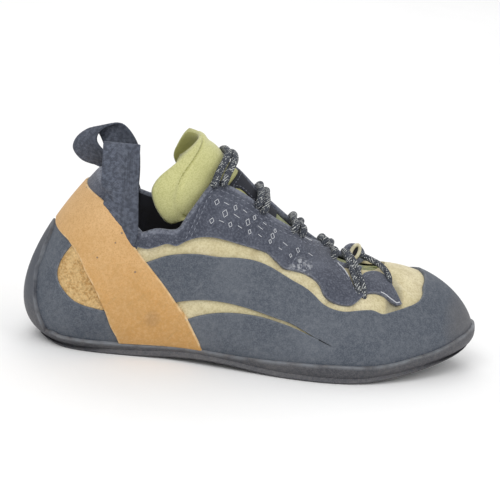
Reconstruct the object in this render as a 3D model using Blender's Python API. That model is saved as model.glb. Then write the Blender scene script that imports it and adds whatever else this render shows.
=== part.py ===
"""Climbing shoe, right foot, standing empty on its sole.

Metres. +X runs from heel to toe, +Y to the inner (medial) side, +Z up.
The origin is on the floor under the heel.
Every layer is a strip of one last: a ring of profile curves that starts at the
back of the heel, runs along the outer side to the toe and back along the inner side.
"""

import math

import bmesh
import bpy
import numpy as np

# Main sizes of the last
LENGTH = 0.258
BALL_WIDTH = 0.094
HEEL_HEIGHT = 0.0965
INSTEP_HEIGHT = 0.0985
COLLAR_WIDTH = 0.048
HEEL_REST = 0.1725           # share of the length from the heel's back to the origin
TOE_SPRING = 0.012
ARCH_RISE = 0.0030
HEEL_BEVEL = 0.0012

# Places along the shoe, as shares of its length
HEEL_FLAT = 0.105            # the heel's flat spot starts here
HEEL_BEVEL_LENGTH = 0.045
ARCH_START = 0.235
ARCH_END = 0.575
SPRING_START = 0.708         # the forefoot's flat spot ends here
SPRING_END = 0.979
SPRING_BEND = 1.35
INSTEP_START = 0.20          # heights count in the heel's height up to here
INSTEP_SPAN = 0.25

# Walls and clearances
LEATHER = 0.0016
SOLE = 0.0036
SOLE_SIDE = 0.0030
SOLE_LIP = 0.0054
SOLE_CHAMFER = 0.0010
SOLE_INSET = 0.0022
RAND = 0.0014
HEEL_RAND = 0.0012
PATCH = 0.0009
SLING = 0.0019
QUARTER = 0.0012
QUARTER_LIFT = 0.0004
SLING_LIFT = 0.0006
INSOLE = 0.0016
INSOLE_LIFT = 0.0006
INSOLE_INSET = 0.0012
TONGUE = 0.0040
TONGUE_DROP = 0.0013         # from the leather's inner face down to the tongue
WEBBING = 0.0012
WEBBING_WIDTH = 0.0200
LACE = 0.0046
LACE_LIFT = 0.0014
LACE_RIDGE = 0.6             # how far to the ridge a bar's lifted points lie
LABEL = 0.0006
GAP = 0.00035
SEAM = 0.00045               # gap between the edges of two neighbouring panels
PATCH_SEAM = 0.0008
WRAP_SEAM = 0.0013
WRAP_LIFT = 0.0005            # how far the wrap's inner face stands off, more than the gap
SLING_SEAM = 0.0009
SLING_CLEAR = 0.0012
QUARTER_INSET = 0.0006
LASTING_MARGIN = 0.0065

# Rises that stand for the top of the last
RIDGE_RISE = 0.995
TOP_RISE = 0.8

# Mesh steps
HALF_RING = 36
BAND_ROWS = (0.35, 0.70, 1.0)
QUARTER_COLUMNS = 32
WRAP_STEPS = 4
WRAP_ROWS = 10
TONGUE_COLUMN_COUNT = 9
TAB_SIDES = 20
FINE = 8

OVER = LEATHER + GAP
UNDER_FOOT = SOLE + LEATHER + GAP

# The last's profile curves, from the heel's back to the toe's tip, one pair a row.
# along and across: where the outer and inner curve leave the sole, and their ridge point
# flare: how far the curve bulges there; low and high: heights of its two handles
# lean: how far the high handle leans to the ridge
# along is a share of LENGTH, across and flare of BALL_WIDTH, heights of the local height
STATION_COLUMNS = (
    "out_along", "out_across", "in_along", "in_across", "out_flare", "in_flare",
    "low", "lean", "high", "top_along", "top_across", "top",
)
STATIONS = (
    (0.064, 0.000, 0.064, 0.000, 0.218, 0.218, 0.13, 0.125, 0.54, 0.165, 0.000, 1.04),
    (0.108, -0.190, 0.108, 0.185, 0.200, 0.200, 0.15, 0.20, 0.55, 0.180, 0.000, 1.04),
    (0.204, -0.239, 0.204, 0.223, 0.133, 0.128, 0.22, 0.35, 0.60, 0.227, 0.000, 1.04),
    (0.312, -0.255, 0.312, 0.191, 0.128, 0.138, 0.30, 0.22, 0.98, 0.382, 0.010, 1.19),
    (0.413, -0.330, 0.413, 0.202, 0.128, 0.138, 0.28, 0.50, 1.02, 0.452, 0.020, 1.02),
    (0.529, -0.404, 0.533, 0.266, 0.117, 0.117, 0.24, 0.50, 0.81, 0.540, 0.030, 0.81),
    (0.645, -0.452, 0.657, 0.372, 0.101, 0.106, 0.20, 0.45, 0.63, 0.637, 0.045, 0.63),
    (0.754, -0.404, 0.766, 0.404, 0.096, 0.096, 0.19, 0.40, 0.56, 0.715, 0.065, 0.555),
    (0.851, -0.266, 0.863, 0.383, 0.085, 0.085, 0.20, 0.40, 0.56, 0.738, 0.078, 0.55),
    (0.930, -0.085, 0.934, 0.298, 0.096, 0.096, 0.19, 0.34, 0.57, 0.749, 0.085, 0.55),
    (0.967, 0.128, 0.967, 0.128, 0.128, 0.128, 0.17, 0.30, 0.58, 0.753, 0.090, 0.55),
)
LAST_ROW = len(STATIONS) - 1
OPEN_ROWS = 2                # rows that end at the collar and not on the ridge
RING = 2 * LAST_ROW

# Edges of the layers. A row: the side it is on, how it is seen, two shares.
# side view: along, height. top view: along, across.
THROAT_EDGE = (
    ("heel", "side", 0.120, 1.010),
    ("out", "side", 0.145, 0.975),
    ("out", "side", 0.170, 0.925),
    ("out", "side", 0.200, 0.830),
    ("out", "side", 0.229, 0.748),
    ("out", "side", 0.241, 0.723),
    ("out", "side", 0.269, 0.744),
    ("out", "side", 0.299, 0.741),
    ("out", "side", 0.320, 0.759),
    ("out", "side", 0.337, 0.837),
    ("out", "side", 0.355, 0.908),
    ("out", "side", 0.380, 0.996),
    ("out", "side", 0.395, 1.005),
    ("out", "side", 0.418, 0.984),
    ("out", "side", 0.461, 0.928),
    ("out", "side", 0.488, 0.881),
    ("out", "side", 0.513, 0.834),
    ("out", "side", 0.550, 0.784),
    ("out", "side", 0.585, 0.736),
    ("out", "side", 0.605, 0.708),
    ("out", "side", 0.632, 0.674),
    ("out", "side", 0.651, 0.646),
    ("out", "side", 0.664, 0.610),
    ("out", "top", 0.710, -0.075),
    ("out", "top", 0.748, -0.045),
    ("toe", "top", 0.780, 0.090),
    ("in", "top", 0.750, 0.190),
    ("in", "top", 0.700, 0.190),
    ("in", "top", 0.600, 0.130),
    ("in", "top", 0.500, 0.100),
    ("in", "top", 0.435, 0.110),
    ("in", "side", 0.390, 0.985),
    ("in", "side", 0.340, 0.870),
    ("in", "side", 0.285, 0.815),
    ("in", "side", 0.230, 0.830),
    ("in", "side", 0.190, 0.890),
    ("in", "side", 0.150, 0.970),
)
# The line where the sole's side band ends, its wrap up the back of the heel apart
SOLE_EDGE = (
    ("heel", "side", 0.060, 0.095),
    ("out", "side", 0.100, 0.078),
    ("out", "side", 0.170, 0.074),
    ("out", "side", 0.270, 0.076),
    ("out", "side", 0.390, 0.090),
    ("out", "side", 0.450, 0.088),
    ("out", "side", 0.490, 0.090),
    ("out", "side", 0.533, 0.094),
    ("out", "side", 0.574, 0.101),
    ("out", "side", 0.638, 0.107),
    ("out", "side", 0.695, 0.110),
    ("out", "side", 0.768, 0.114),
    ("out", "side", 0.808, 0.127),
    ("out", "side", 0.839, 0.143),
    ("out", "side", 0.880, 0.161),
    ("out", "side", 0.923, 0.191),
    ("out", "side", 0.962, 0.225),
    ("toe", "side", 0.990, 0.250),
    ("in", "side", 0.962, 0.225),
    ("in", "side", 0.923, 0.195),
    ("in", "side", 0.880, 0.168),
    ("in", "side", 0.839, 0.150),
    ("in", "side", 0.768, 0.122),
    ("in", "side", 0.638, 0.110),
    ("in", "side", 0.490, 0.096),
    ("in", "side", 0.390, 0.090),
    ("in", "side", 0.270, 0.076),
    ("in", "side", 0.170, 0.074),
    ("in", "side", 0.100, 0.078),
)
# The heel wrap of the sole, from the back's centre to where it meets the side band
HEEL_WRAP = (
    ("heel", "side", 0.052, 0.690),
    ("out", "side", 0.051, 0.639),
    ("out", "side", 0.042, 0.568),
    ("out", "side", 0.036, 0.506),
    ("out", "side", 0.028, 0.432),
    ("out", "side", 0.027, 0.349),
    ("out", "side", 0.029, 0.277),
    ("out", "side", 0.036, 0.206),
    ("out", "side", 0.046, 0.143),
    ("out", "side", 0.058, 0.089),
    ("out", "side", 0.070, 0.094),
)
RAND_TOP = (
    ("out", "side", 0.254, 0.569),
    ("out", "side", 0.283, 0.601),
    ("out", "side", 0.325, 0.628),
    ("out", "side", 0.367, 0.634),
    ("out", "side", 0.407, 0.627),
    ("out", "side", 0.450, 0.630),
    ("out", "side", 0.487, 0.620),
    ("out", "side", 0.521, 0.591),
    ("out", "side", 0.562, 0.539),
    ("out", "side", 0.593, 0.503),
    ("out", "side", 0.613, 0.470),
    ("out", "side", 0.634, 0.427),
    ("out", "side", 0.657, 0.404),
    ("out", "side", 0.682, 0.394),
    ("out", "side", 0.715, 0.401),
    ("out", "side", 0.741, 0.403),
    ("out", "side", 0.754, 0.394),
    ("out", "side", 0.767, 0.383),
    ("out", "side", 0.784, 0.390),
    ("out", "side", 0.821, 0.408),
    ("out", "side", 0.840, 0.419),
    ("out", "side", 0.855, 0.438),
    ("out", "top", 0.862, -0.112),
    ("out", "top", 0.864, -0.050),
    ("toe", "top", 0.862, 0.050),
    ("in", "top", 0.855, 0.200),
    ("in", "top", 0.815, 0.300),
    ("in", "side", 0.740, 0.430),
    ("in", "side", 0.640, 0.430),
    ("in", "side", 0.540, 0.520),
    ("in", "side", 0.440, 0.600),
    ("in", "side", 0.340, 0.620),
    ("in", "side", 0.256, 0.580),
)
SLOT_TOP = (
    ("out", "side", 0.324, 0.352),
    ("out", "side", 0.355, 0.373),
    ("out", "side", 0.398, 0.386),
    ("out", "side", 0.441, 0.381),
    ("out", "side", 0.484, 0.364),
    ("out", "side", 0.529, 0.338),
    ("out", "side", 0.566, 0.316),
    ("out", "side", 0.596, 0.284),
    ("out", "side", 0.623, 0.251),
)
SLOT_LOW = (
    ("out", "side", 0.352, 0.262),
    ("out", "side", 0.380, 0.297),
    ("out", "side", 0.421, 0.326),
    ("out", "side", 0.454, 0.335),
    ("out", "side", 0.497, 0.334),
    ("out", "side", 0.529, 0.322),
    ("out", "side", 0.567, 0.300),
    ("out", "side", 0.597, 0.275),
    ("out", "side", 0.623, 0.251),
)
SLOT_FADE = 1.5              # ring places from the slot's tip to the rand's middle row
# The sling's two edges, from the back's centre down to the sole
SLING_REAR = (
    ("heel", "side", 0.052, 0.697),
    ("out", "side", 0.078, 0.652),
    ("out", "side", 0.091, 0.631),
    ("out", "side", 0.112, 0.572),
    ("out", "side", 0.129, 0.489),
    ("out", "side", 0.147, 0.418),
    ("out", "side", 0.163, 0.339),
    ("out", "side", 0.178, 0.260),
    ("out", "side", 0.192, 0.173),
    ("out", "side", 0.212, 0.088),
)
SLING_FRONT = (
    ("heel", "side", 0.118, 0.935),
    ("out", "side", 0.131, 0.914),
    ("out", "side", 0.150, 0.895),
    ("out", "side", 0.167, 0.868),
    ("out", "side", 0.190, 0.803),
    ("out", "side", 0.203, 0.750),
    ("out", "side", 0.254, 0.569),
    ("out", "side", 0.288, 0.468),
    ("out", "side", 0.324, 0.352),
    ("out", "side", 0.352, 0.262),
    ("out", "side", 0.374, 0.167),
    ("out", "side", 0.391, 0.095),
)
# The round cut-out beside the heel, from its upper to its lower end on the sling
HEEL_CUTOUT = (
    ("out", "side", 0.092, 0.619),
    ("out", "side", 0.078, 0.557),
    ("out", "side", 0.070, 0.504),
    ("out", "side", 0.067, 0.449),
    ("out", "side", 0.073, 0.401),
    ("out", "side", 0.088, 0.355),
    ("out", "side", 0.107, 0.318),
    ("out", "side", 0.128, 0.297),
    ("out", "side", 0.152, 0.284),
    ("out", "side", 0.174, 0.273),
)
QUARTER_LOW_OUT = (
    ("out", "side", 0.229, 0.660),
    ("out", "side", 0.253, 0.648),
    ("out", "side", 0.274, 0.662),
    ("out", "side", 0.293, 0.679),
    ("out", "side", 0.313, 0.670),
    ("out", "side", 0.331, 0.697),
    ("out", "side", 0.352, 0.720),
    ("out", "side", 0.385, 0.729),
    ("out", "side", 0.419, 0.717),
    ("out", "side", 0.452, 0.698),
    ("out", "side", 0.486, 0.680),
    ("out", "side", 0.508, 0.664),
    ("out", "side", 0.527, 0.628),
    ("out", "side", 0.546, 0.592),
    ("out", "side", 0.567, 0.582),
    ("out", "side", 0.592, 0.568),
    ("out", "side", 0.613, 0.543),
    ("out", "side", 0.626, 0.515),
    ("out", "side", 0.633, 0.479),
    ("out", "side", 0.642, 0.456),
    ("out", "side", 0.660, 0.433),
    ("out", "side", 0.682, 0.423),
    ("out", "side", 0.698, 0.426),
    ("out", "side", 0.711, 0.445),
    ("out", "side", 0.724, 0.469),
    ("out", "side", 0.738, 0.479),
    ("out", "side", 0.755, 0.477),
    ("out", "side", 0.771, 0.463),
    ("out", "side", 0.783, 0.444),
    ("out", "side", 0.798, 0.421),
)
QUARTER_TOP_OUT = (
    ("out", "side", 0.229, 0.748),
    ("out", "side", 0.241, 0.723),
    ("out", "side", 0.269, 0.744),
    ("out", "side", 0.299, 0.741),
    ("out", "side", 0.320, 0.759),
    ("out", "side", 0.337, 0.837),
    ("out", "side", 0.355, 0.908),
    ("out", "side", 0.380, 0.996),
    ("out", "side", 0.395, 1.005),
    ("out", "side", 0.418, 0.984),
    ("out", "side", 0.461, 0.928),
    ("out", "side", 0.488, 0.881),
    ("out", "side", 0.513, 0.834),
    ("out", "side", 0.550, 0.784),
    ("out", "side", 0.585, 0.736),
    ("out", "side", 0.605, 0.708),
    ("out", "side", 0.632, 0.674),
    ("out", "side", 0.651, 0.646),
    ("out", "side", 0.664, 0.610),
    ("out", "side", 0.679, 0.580),
    ("out", "side", 0.693, 0.540),
    ("out", "side", 0.707, 0.489),
    ("out", "side", 0.722, 0.550),
    ("out", "side", 0.741, 0.559),
    ("out", "side", 0.757, 0.557),
    ("out", "side", 0.770, 0.547),
    ("out", "side", 0.783, 0.530),
    ("out", "side", 0.798, 0.505),
    ("out", "side", 0.808, 0.481),
    ("out", "side", 0.814, 0.452),
)
QUARTER_LOW_IN = (
    ("in", "side", 0.222, 0.720),
    ("in", "side", 0.300, 0.740),
    ("in", "side", 0.400, 0.740),
    ("in", "side", 0.500, 0.660),
    ("in", "side", 0.600, 0.540),
    ("in", "side", 0.700, 0.470),
    ("in", "side", 0.770, 0.480),
    ("in", "side", 0.790, 0.490),
)
# The tongue under the throat: ring places of its rows, and how far down its sides reach
TONGUE_RINGS = (7.35, 6.9, 6.4, 5.9, 5.4, 4.9, 4.4, 4.0)
TONGUE_EDGE = 0.80
TONGUE_EDGE_DROP = 0.02      # for each ring place further up
TONGUE_FULLNESS = (0.62, 0.45, 0.30)
LABEL_ROWS = slice(5, 9)
LABEL_COLUMNS = slice(2, 6)
# The tongue above the throat: its outer edge, centre line and inner edge
TONGUE_COLUMNS = ("out_x", "out_y", "out_z", "mid_x", "mid_y", "mid_z", "in_x", "in_y", "in_z")
TONGUE_FLARE = (
    (0.340, -0.180, 0.800, 0.435, 0.012, 1.045, 0.365, 0.140, 0.830),
    (0.303, -0.185, 0.735, 0.421, 0.011, 1.077, 0.341, 0.160, 0.865),
    (0.275, -0.225, 0.800, 0.406, 0.000, 1.117, 0.322, 0.200, 0.927),
    (0.258, -0.255, 0.880, 0.392, 0.000, 1.159, 0.310, 0.234, 0.994),
    (0.250, -0.262, 0.960, 0.378, 0.000, 1.190, 0.296, 0.223, 1.063),
    (0.258, -0.240, 1.035, 0.364, 0.000, 1.210, 0.298, 0.200, 1.140),
    (0.271, -0.213, 1.074, 0.352, 0.000, 1.222, 0.307, 0.160, 1.214),
)
# Bars of the lace, in pairs along the throat from the top down: ring place on the outer side
EYELETS = (3.45, 3.72, 4.40, 4.64, 5.20, 5.44, 5.90, 6.16)
EYELET_INSET = 0.0065

# The pull loops' paths above the collar, as shares of LOOP_HEIGHT from the wall's top
LOOP_HEIGHT = 0.0355
LOOP_SEAT = 0.183            # place of the loops along the shoe
LOOP_SEAT_HEIGHT = 0.80
LOOP_LEAN = (0.85, 0.50)     # how far a turned loop's width leans across and up
LOOP_TAIL = 0.008
LOOP_INSIDE = 0.0016
LOOP_LIFT = 0.0013
LOOP_COLUMNS = ("forward", "outward", "up", "turn")
LOOP_OUTER = (
    (-0.03, 0.02, 0.35, 0.0),
    (-0.05, 0.02, 0.70, 0.0),
    (-0.06, -0.02, 0.94, 0.0),
    (-0.06, -0.10, 0.98, 0.0),
    (-0.05, -0.20, 0.80, 0.0),
    (-0.02, -0.215, 0.40, 0.0),
)
LOOP_INNER = (
    (-0.14, -0.02, 0.20, 15.0),
    (-0.44, -0.06, 0.32, 40.0),
    (-0.62, -0.08, 0.52, 50.0),
    (-0.54, -0.12, 0.74, 50.0),
    (-0.28, -0.18, 0.86, 40.0),
    (-0.06, -0.22, 0.60, 20.0),
    (0.00, -0.20, 0.25, 5.0),
)
# The raised tab at the throat's front end
TAB_PLACE = (0.722, 0.165, 0.606)
TAB_LENGTH = 0.021
TAB_HEIGHT = 0.0075
TAB_WALL = 0.0016
TAB_ALONG = (0.93, 0.0, -0.37)
TAB_UP = (0.20, -0.55, 0.81)
EYELET_HOLE = 0.0036
# The heel panels run over this part of the sling's rear edge
HEEL_PANEL_START = 0.08
HEEL_PANEL_END = 0.97

COLOURS = {
    "leather": (0.70, 0.60, 0.26, 0.85),
    "microfibre": (0.045, 0.05, 0.075, 0.75),
    "rand": (0.075, 0.09, 0.105, 0.6),
    "sole": (0.06, 0.058, 0.062, 0.65),
    "sling": (0.72, 0.38, 0.12, 0.6),
    "patch": (0.55, 0.31, 0.09, 0.7),
    "tongue": (0.60, 0.62, 0.22, 0.9),
    "webbing": (0.07, 0.08, 0.095, 0.85),
    "lace": (0.10, 0.10, 0.105, 0.9),
    "insole": (0.35, 0.33, 0.28, 0.9),
}


def along_x(share):
    """X of a share of the shoe's length, counted from the heel's back."""
    return (share - HEEL_REST) * LENGTH


def local_height(x):
    """The height that shares count in: the heel's at the back, the instep's in front."""
    share = x / LENGTH + HEEL_REST
    blend = np.clip((share - INSTEP_START) / INSTEP_SPAN, 0.0, 1.0)
    blend = blend * blend * (3.0 - 2.0 * blend)
    return HEEL_HEIGHT + (INSTEP_HEIGHT - HEEL_HEIGHT) * blend


def ground(x):
    """Height of the sole's tread above the floor: two flat spots, an arch, a toe spring."""
    share = np.asarray(x) / LENGTH + HEEL_REST
    toe = np.clip((share - SPRING_START) / (SPRING_END - SPRING_START), 0.0, 1.2)
    heel = np.clip((HEEL_FLAT - share) / HEEL_BEVEL_LENGTH, 0.0, 1.0)
    arch = np.clip((share - ARCH_START) / (ARCH_END - ARCH_START), 0.0, 1.0)
    rise = TOE_SPRING * toe ** SPRING_BEND + HEEL_BEVEL * heel ** 2
    return rise + ARCH_RISE * np.sin(np.pi * arch) ** 2


def ring_slopes(values):
    """Slopes of a smooth closed curve through the rows of values."""
    count = len(values)
    matrix = np.zeros((count, count))
    for index in range(count):
        matrix[index, index - 1] = 1.0
        matrix[index, index] = 4.0
        matrix[index, (index + 1) % count] = 1.0
    change = np.roll(values, -1, axis=0) - np.roll(values, 1, axis=0)
    return np.linalg.solve(matrix, 3.0 * change)


def station_handles():
    """The four handles of each profile curve round the ring."""
    rows = [dict(zip(STATION_COLUMNS, row)) for row in STATIONS]
    order = [(index, "out") for index in range(LAST_ROW + 1)]
    order += [(index, "in") for index in range(LAST_ROW - 1, 0, -1)]
    feet = []
    for index, side in order:
        row = rows[index]
        feet.append((along_x(row[side + "_along"]), row[side + "_across"] * BALL_WIDTH))
    feet = np.array(feet)
    tangents = np.roll(feet, -1, axis=0) - np.roll(feet, 1, axis=0)
    tangents /= np.linalg.norm(tangents, axis=1)[:, None]
    normals = np.stack((tangents[:, 1], -tangents[:, 0]), axis=1)
    handles = []
    for (index, side), foot, normal in zip(order, feet, normals):
        row = rows[index]
        height = float(local_height(foot[0]))
        bulge = foot + normal * row[side + "_flare"] * BALL_WIDTH
        top = np.array((along_x(row["top_along"]), row["top_across"] * BALL_WIDTH))
        spread = 0.5 * COLLAR_WIDTH * math.sin(0.5 * math.pi * min(index, OPEN_ROWS) / OPEN_ROWS)
        if index > OPEN_ROWS:
            spread = 0.0
        sign = -1.0 if side == "out" else 1.0
        aim = top + np.array((0.0, sign * spread))
        high = bulge + (aim - bulge) * row["lean"]
        handles.append((
            (*foot, 0.0),
            (*bulge, row["low"] * height),
            (*high, row["high"] * height),
            (*top, row["top"] * height),
        ))
    return np.array(handles)


HANDLES = station_handles()
SLOPES = ring_slopes(HANDLES.reshape(RING, 12)).reshape(RING, 4, 3)


def collar_spread(ring):
    """Half width of the open collar at a place on the ring, signed by side."""
    ring = np.mod(ring, RING)
    row = np.minimum(ring, RING - ring)
    sign = np.where(ring < LAST_ROW, -1.0, 1.0)
    rising = np.sin(0.5 * np.pi * np.minimum(row, OPEN_ROWS) / OPEN_ROWS)
    closing = np.clip(row - OPEN_ROWS, 0.0, 1.0)
    closing = 1.0 - closing * closing * (3.0 - 2.0 * closing)
    return 0.5 * COLLAR_WIDTH * sign * rising * closing


def last_point(ring, rise):
    """Point of the last: ring counts round the shoe, rise goes from sole to ridge."""
    ring = np.mod(np.asarray(ring, dtype=float), RING)
    rise = np.asarray(rise, dtype=float)
    start = np.floor(ring).astype(int) % RING
    step = (ring - np.floor(ring))[..., None, None]
    end = (start + 1) % RING
    near = HANDLES[start]
    far = HANDLES[end]
    near_slope = SLOPES[start]
    far_slope = SLOPES[end]
    square = step * step
    cube = square * step
    handles = (
        near * (2.0 * cube - 3.0 * square + 1.0)
        + near_slope * (cube - 2.0 * square + step)
        + far * (3.0 * square - 2.0 * cube)
        + far_slope * (cube - square)
    )
    foot = handles[..., 0, :].copy()
    foot[..., 2] = ground(foot[..., 0]) + UNDER_FOOT
    top = handles[..., 3, :].copy()
    top[..., 1] += collar_spread(ring)
    rise = rise[..., None]
    left = 1.0 - rise
    return (
        foot * left ** 3
        + 3.0 * handles[..., 1, :] * rise * left ** 2
        + 3.0 * handles[..., 2, :] * rise ** 2 * left
        + top * rise ** 3
    )


def last_normal(ring, rise):
    """Outward direction of the last's surface."""
    ring = np.asarray(ring, dtype=float)
    rise = np.clip(np.asarray(rise, dtype=float), 0.0, 0.985)
    ring, rise = np.broadcast_arrays(ring, rise)
    around = last_point(ring + 0.01, rise) - last_point(ring - 0.01, rise)
    upward = last_point(ring, rise + 0.005) - last_point(ring, rise - 0.005)
    normal = np.cross(around, upward)
    return normal / np.linalg.norm(normal, axis=-1)[..., None]


def layer_point(ring, rise, offset):
    """Point at a distance outside the last's surface."""
    return last_point(ring, rise) + last_normal(ring, rise) * offset


def foot_normal(ring):
    """Outward direction in plan of the last's bottom edge."""
    around = last_point(np.asarray(ring) + 0.01, 0.0) - last_point(np.asarray(ring) - 0.01, 0.0)
    normal = np.stack((around[..., 1], -around[..., 0], np.zeros_like(around[..., 0])), axis=-1)
    return normal / np.linalg.norm(normal, axis=-1)[..., None]


GRID_RING = np.linspace(0.0, RING, 20 * RING, endpoint=False)
GRID_RISE = np.linspace(0.0, 0.99, 80)
GRID_POINTS = layer_point(GRID_RING[:, None], GRID_RISE[None, :], OVER + RAND)


def find_place(row):
    """Ring and rise of a place that an edge table gives in side or top view."""
    side, view, along, level = row
    x = along_x(along)
    if side == "heel":
        allowed = np.arange(len(GRID_RING)) == 0
    elif side == "toe":
        allowed = np.arange(len(GRID_RING)) == len(GRID_RING) // 2
    elif side == "out":
        allowed = GRID_RING < LAST_ROW
    else:
        allowed = GRID_RING > LAST_ROW
    axis = 2 if view == "side" else 1
    target = level * float(local_height(x)) if view == "side" else level * BALL_WIDTH
    step_ring = 1.0 / 20
    step_rise = GRID_RISE[1]
    miss = (GRID_POINTS[..., 0] - x) ** 2 + (GRID_POINTS[..., axis] - target) ** 2
    if view == "top":
        miss = miss + np.where(GRID_RISE[None, :] < 0.45, 1.0, 0.0)
    miss = np.where(allowed[:, None], miss, 10.0)
    if side in ("heel", "toe"):
        level_axis = GRID_POINTS[..., 2] if view == "side" else GRID_POINTS[..., 0]
        wanted = target if view == "side" else x
        miss = np.where(allowed[:, None], (level_axis - wanted) ** 2, 10.0)
        if view == "top":
            miss = miss + np.where(GRID_RISE[None, :] < 0.45, 1.0, 0.0)
    best = np.unravel_index(np.argmin(miss), miss.shape)
    ring = GRID_RING[best[0]]
    rise = GRID_RISE[best[1]]
    fixed = side in ("heel", "toe")
    for _ in range(6):
        rings = ring + (np.zeros(1) if fixed else np.linspace(-1.0, 1.0, 5) * step_ring)
        rises = np.clip(rise + np.linspace(-1.0, 1.0, 5) * step_rise, 0.0, 0.99)
        points = layer_point(rings[:, None], rises[None, :], OVER + RAND)
        if fixed:
            seen = points[..., 2] if view == "side" else points[..., 0]
            miss = (seen - (target if view == "side" else x)) ** 2
        else:
            miss = (points[..., 0] - x) ** 2 + (points[..., axis] - target) ** 2
        best = np.unravel_index(np.argmin(miss), miss.shape)
        ring = rings[best[0]]
        rise = rises[best[1]]
        step_ring *= 0.5
        step_rise *= 0.5
    return ring, rise


def smooth_path(points, steps=FINE):
    """Points along a smooth open curve through the given ones."""
    points = np.asarray(points, dtype=float)
    padded = np.vstack((2 * points[0] - points[1], points, 2 * points[-1] - points[-2]))
    path = []
    for index in range(1, len(padded) - 2):
        before, start, end, after = padded[index - 1:index + 3]
        for step in range(steps):
            t = step / steps
            path.append(0.5 * (
                2 * start + (end - before) * t
                + (2 * before - 5 * start + 4 * end - after) * t * t
                + (3 * start - before - 3 * end + after) * t ** 3
            ))
    path.append(points[-1])
    return np.array(path)


def edge_path(table, mirrored=False):
    """A layer's edge as ring and rise values along a smooth curve."""
    places = []
    for row in table:
        if mirrored:
            row = ("in" if row[0] == "out" else row[0],) + row[1:]
        places.append(find_place(row))
    return smooth_path(places)


def ring_edge(table, closed):
    """A function from ring place to rise along an edge that goes round the shoe."""
    places = [find_place(row) for row in table]
    if closed:
        places.append((places[0][0] + RING, places[0][1]))
    path = smooth_path(places)
    rings = np.maximum.accumulate(path[:, 0] + np.arange(len(path)) * 1e-9)
    return lambda ring: np.interp(ring, rings, path[:, 1])


def resample(path, count):
    """The path's points spread evenly by their distance on the last."""
    points = layer_point(path[:, 0], path[:, 1], OVER)
    steps = np.linalg.norm(np.diff(points, axis=0), axis=1)
    reach = np.concatenate(((0.0,), np.cumsum(steps)))
    wanted = np.linspace(0.0, reach[-1], count)
    return np.stack((np.interp(wanted, reach, path[:, 0]), np.interp(wanted, reach, path[:, 1])), axis=1)


def at_shares(path, shares):
    """The path's places at shares of its length on the last."""
    points = layer_point(path[:, 0], path[:, 1], OVER)
    steps = np.linalg.norm(np.diff(points, axis=0), axis=1)
    reach = np.concatenate(((0.0,), np.cumsum(steps)))
    wanted = np.asarray(shares) * reach[-1]
    return np.stack((np.interp(wanted, reach, path[:, 0]), np.interp(wanted, reach, path[:, 1])), axis=1)


class Shell:
    """A closed wall: points with an inner and an outer place, and the faces between them."""

    def __init__(self):
        self.keys = {}
        self.inner = []
        self.outer = []
        self.faces = []

    def point(self, inner, outer):
        key = tuple(int(round(value * 2e5)) for value in (*inner, *outer))
        if key not in self.keys:
            self.keys[key] = len(self.inner)
            self.inner.append(tuple(float(value) for value in inner))
            self.outer.append(tuple(float(value) for value in outer))
        return self.keys[key]

    def face(self, corners):
        kept = []
        for corner in corners:
            if corner not in kept:
                kept.append(corner)
        if len(kept) > 2:
            self.faces.append(kept)

    def grid(self, inner, outer, closed=False):
        """Faces over a grid of points, in rows; a closed one joins its last row to its first."""
        ids = [
            [self.point(inner[i][j], outer[i][j]) for j in range(len(inner[i]))]
            for i in range(len(inner))
        ]
        count = len(ids)
        for i in range(count if closed else count - 1):
            near = ids[i]
            far = ids[(i + 1) % count]
            for j in range(len(near) - 1):
                self.face((near[j], far[j], far[j + 1], near[j + 1]))
        return ids

    def build(self, name, material):
        mesh = bpy.data.meshes.new(name)
        form = bmesh.new()
        low = [form.verts.new(place) for place in self.inner]
        high = [form.verts.new(place) for place in self.outer]
        edges = {}
        for face in self.faces:
            form.faces.new([high[corner] for corner in face])
            form.faces.new([low[corner] for corner in reversed(face)])
            for start, end in zip(face, face[1:] + face[:1]):
                edges[(start, end)] = True
        for start, end in edges:
            if (end, start) not in edges:
                form.faces.new((high[end], high[start], low[start], low[end]))
        if form.calc_volume(signed=True) < 0.0:
            bmesh.ops.reverse_faces(form, faces=form.faces)
        bmesh.ops.triangulate(form, faces=[face for face in form.faces if len(face.verts) > 3])
        form.to_mesh(mesh)
        form.free()
        mesh.shade_smooth()
        mesh.set_sharp_from_angle(angle=math.radians(40))
        return add_object(name, mesh, material)


def make_material(name):
    red, green, blue, rough = COLOURS[name]
    material = bpy.data.materials.new(name)
    material.use_nodes = True
    shader = material.node_tree.nodes["Principled BSDF"]
    shader.inputs["Base Color"].default_value = (red, green, blue, 1.0)
    shader.inputs["Roughness"].default_value = rough
    shader.inputs["Metallic"].default_value = 0.0
    return material


def add_object(name, mesh, material):
    item = bpy.data.objects.new(name, mesh)
    item.data.materials.append(make_material(material))
    COLLECTION.objects.link(item)
    return item


def layer_grid(rings, rises, inner_offset, thickness):
    """Inner and outer grids of a layer over arrays of ring and rise."""
    inner = layer_point(rings, rises, inner_offset)
    outer = layer_point(rings, rises, inner_offset + thickness)
    return inner, outer


def between(low_path, high_path, rows):
    """Grid of places between two edges with as many points each."""
    shares = np.linspace(0.0, 1.0, rows)[None, :, None]
    grid = low_path[:, None, :] * (1.0 - shares) + high_path[:, None, :] * shares
    return grid[..., 0], grid[..., 1]


def profile_rows(low, high, count):
    """Rises between two edges, closer together low down, where the profile bends most."""
    shares = np.linspace(0.0, 1.0, count) ** 1.25
    return low[:, None] + (high - low)[:, None] * shares[None, :]


def corner_point(ring, offset):
    """Point outside the edge between the last's bottom and its side."""
    side = last_normal(ring, np.zeros_like(ring))
    down = np.zeros_like(side)
    down[..., 2] = -1.0
    mid = side + down
    mid /= np.linalg.norm(mid, axis=-1)[..., None]
    reach = offset / np.maximum(np.sum(mid * side, axis=-1), 0.5)
    return last_point(ring, np.zeros_like(ring)) + mid * reach[..., None]


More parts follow.
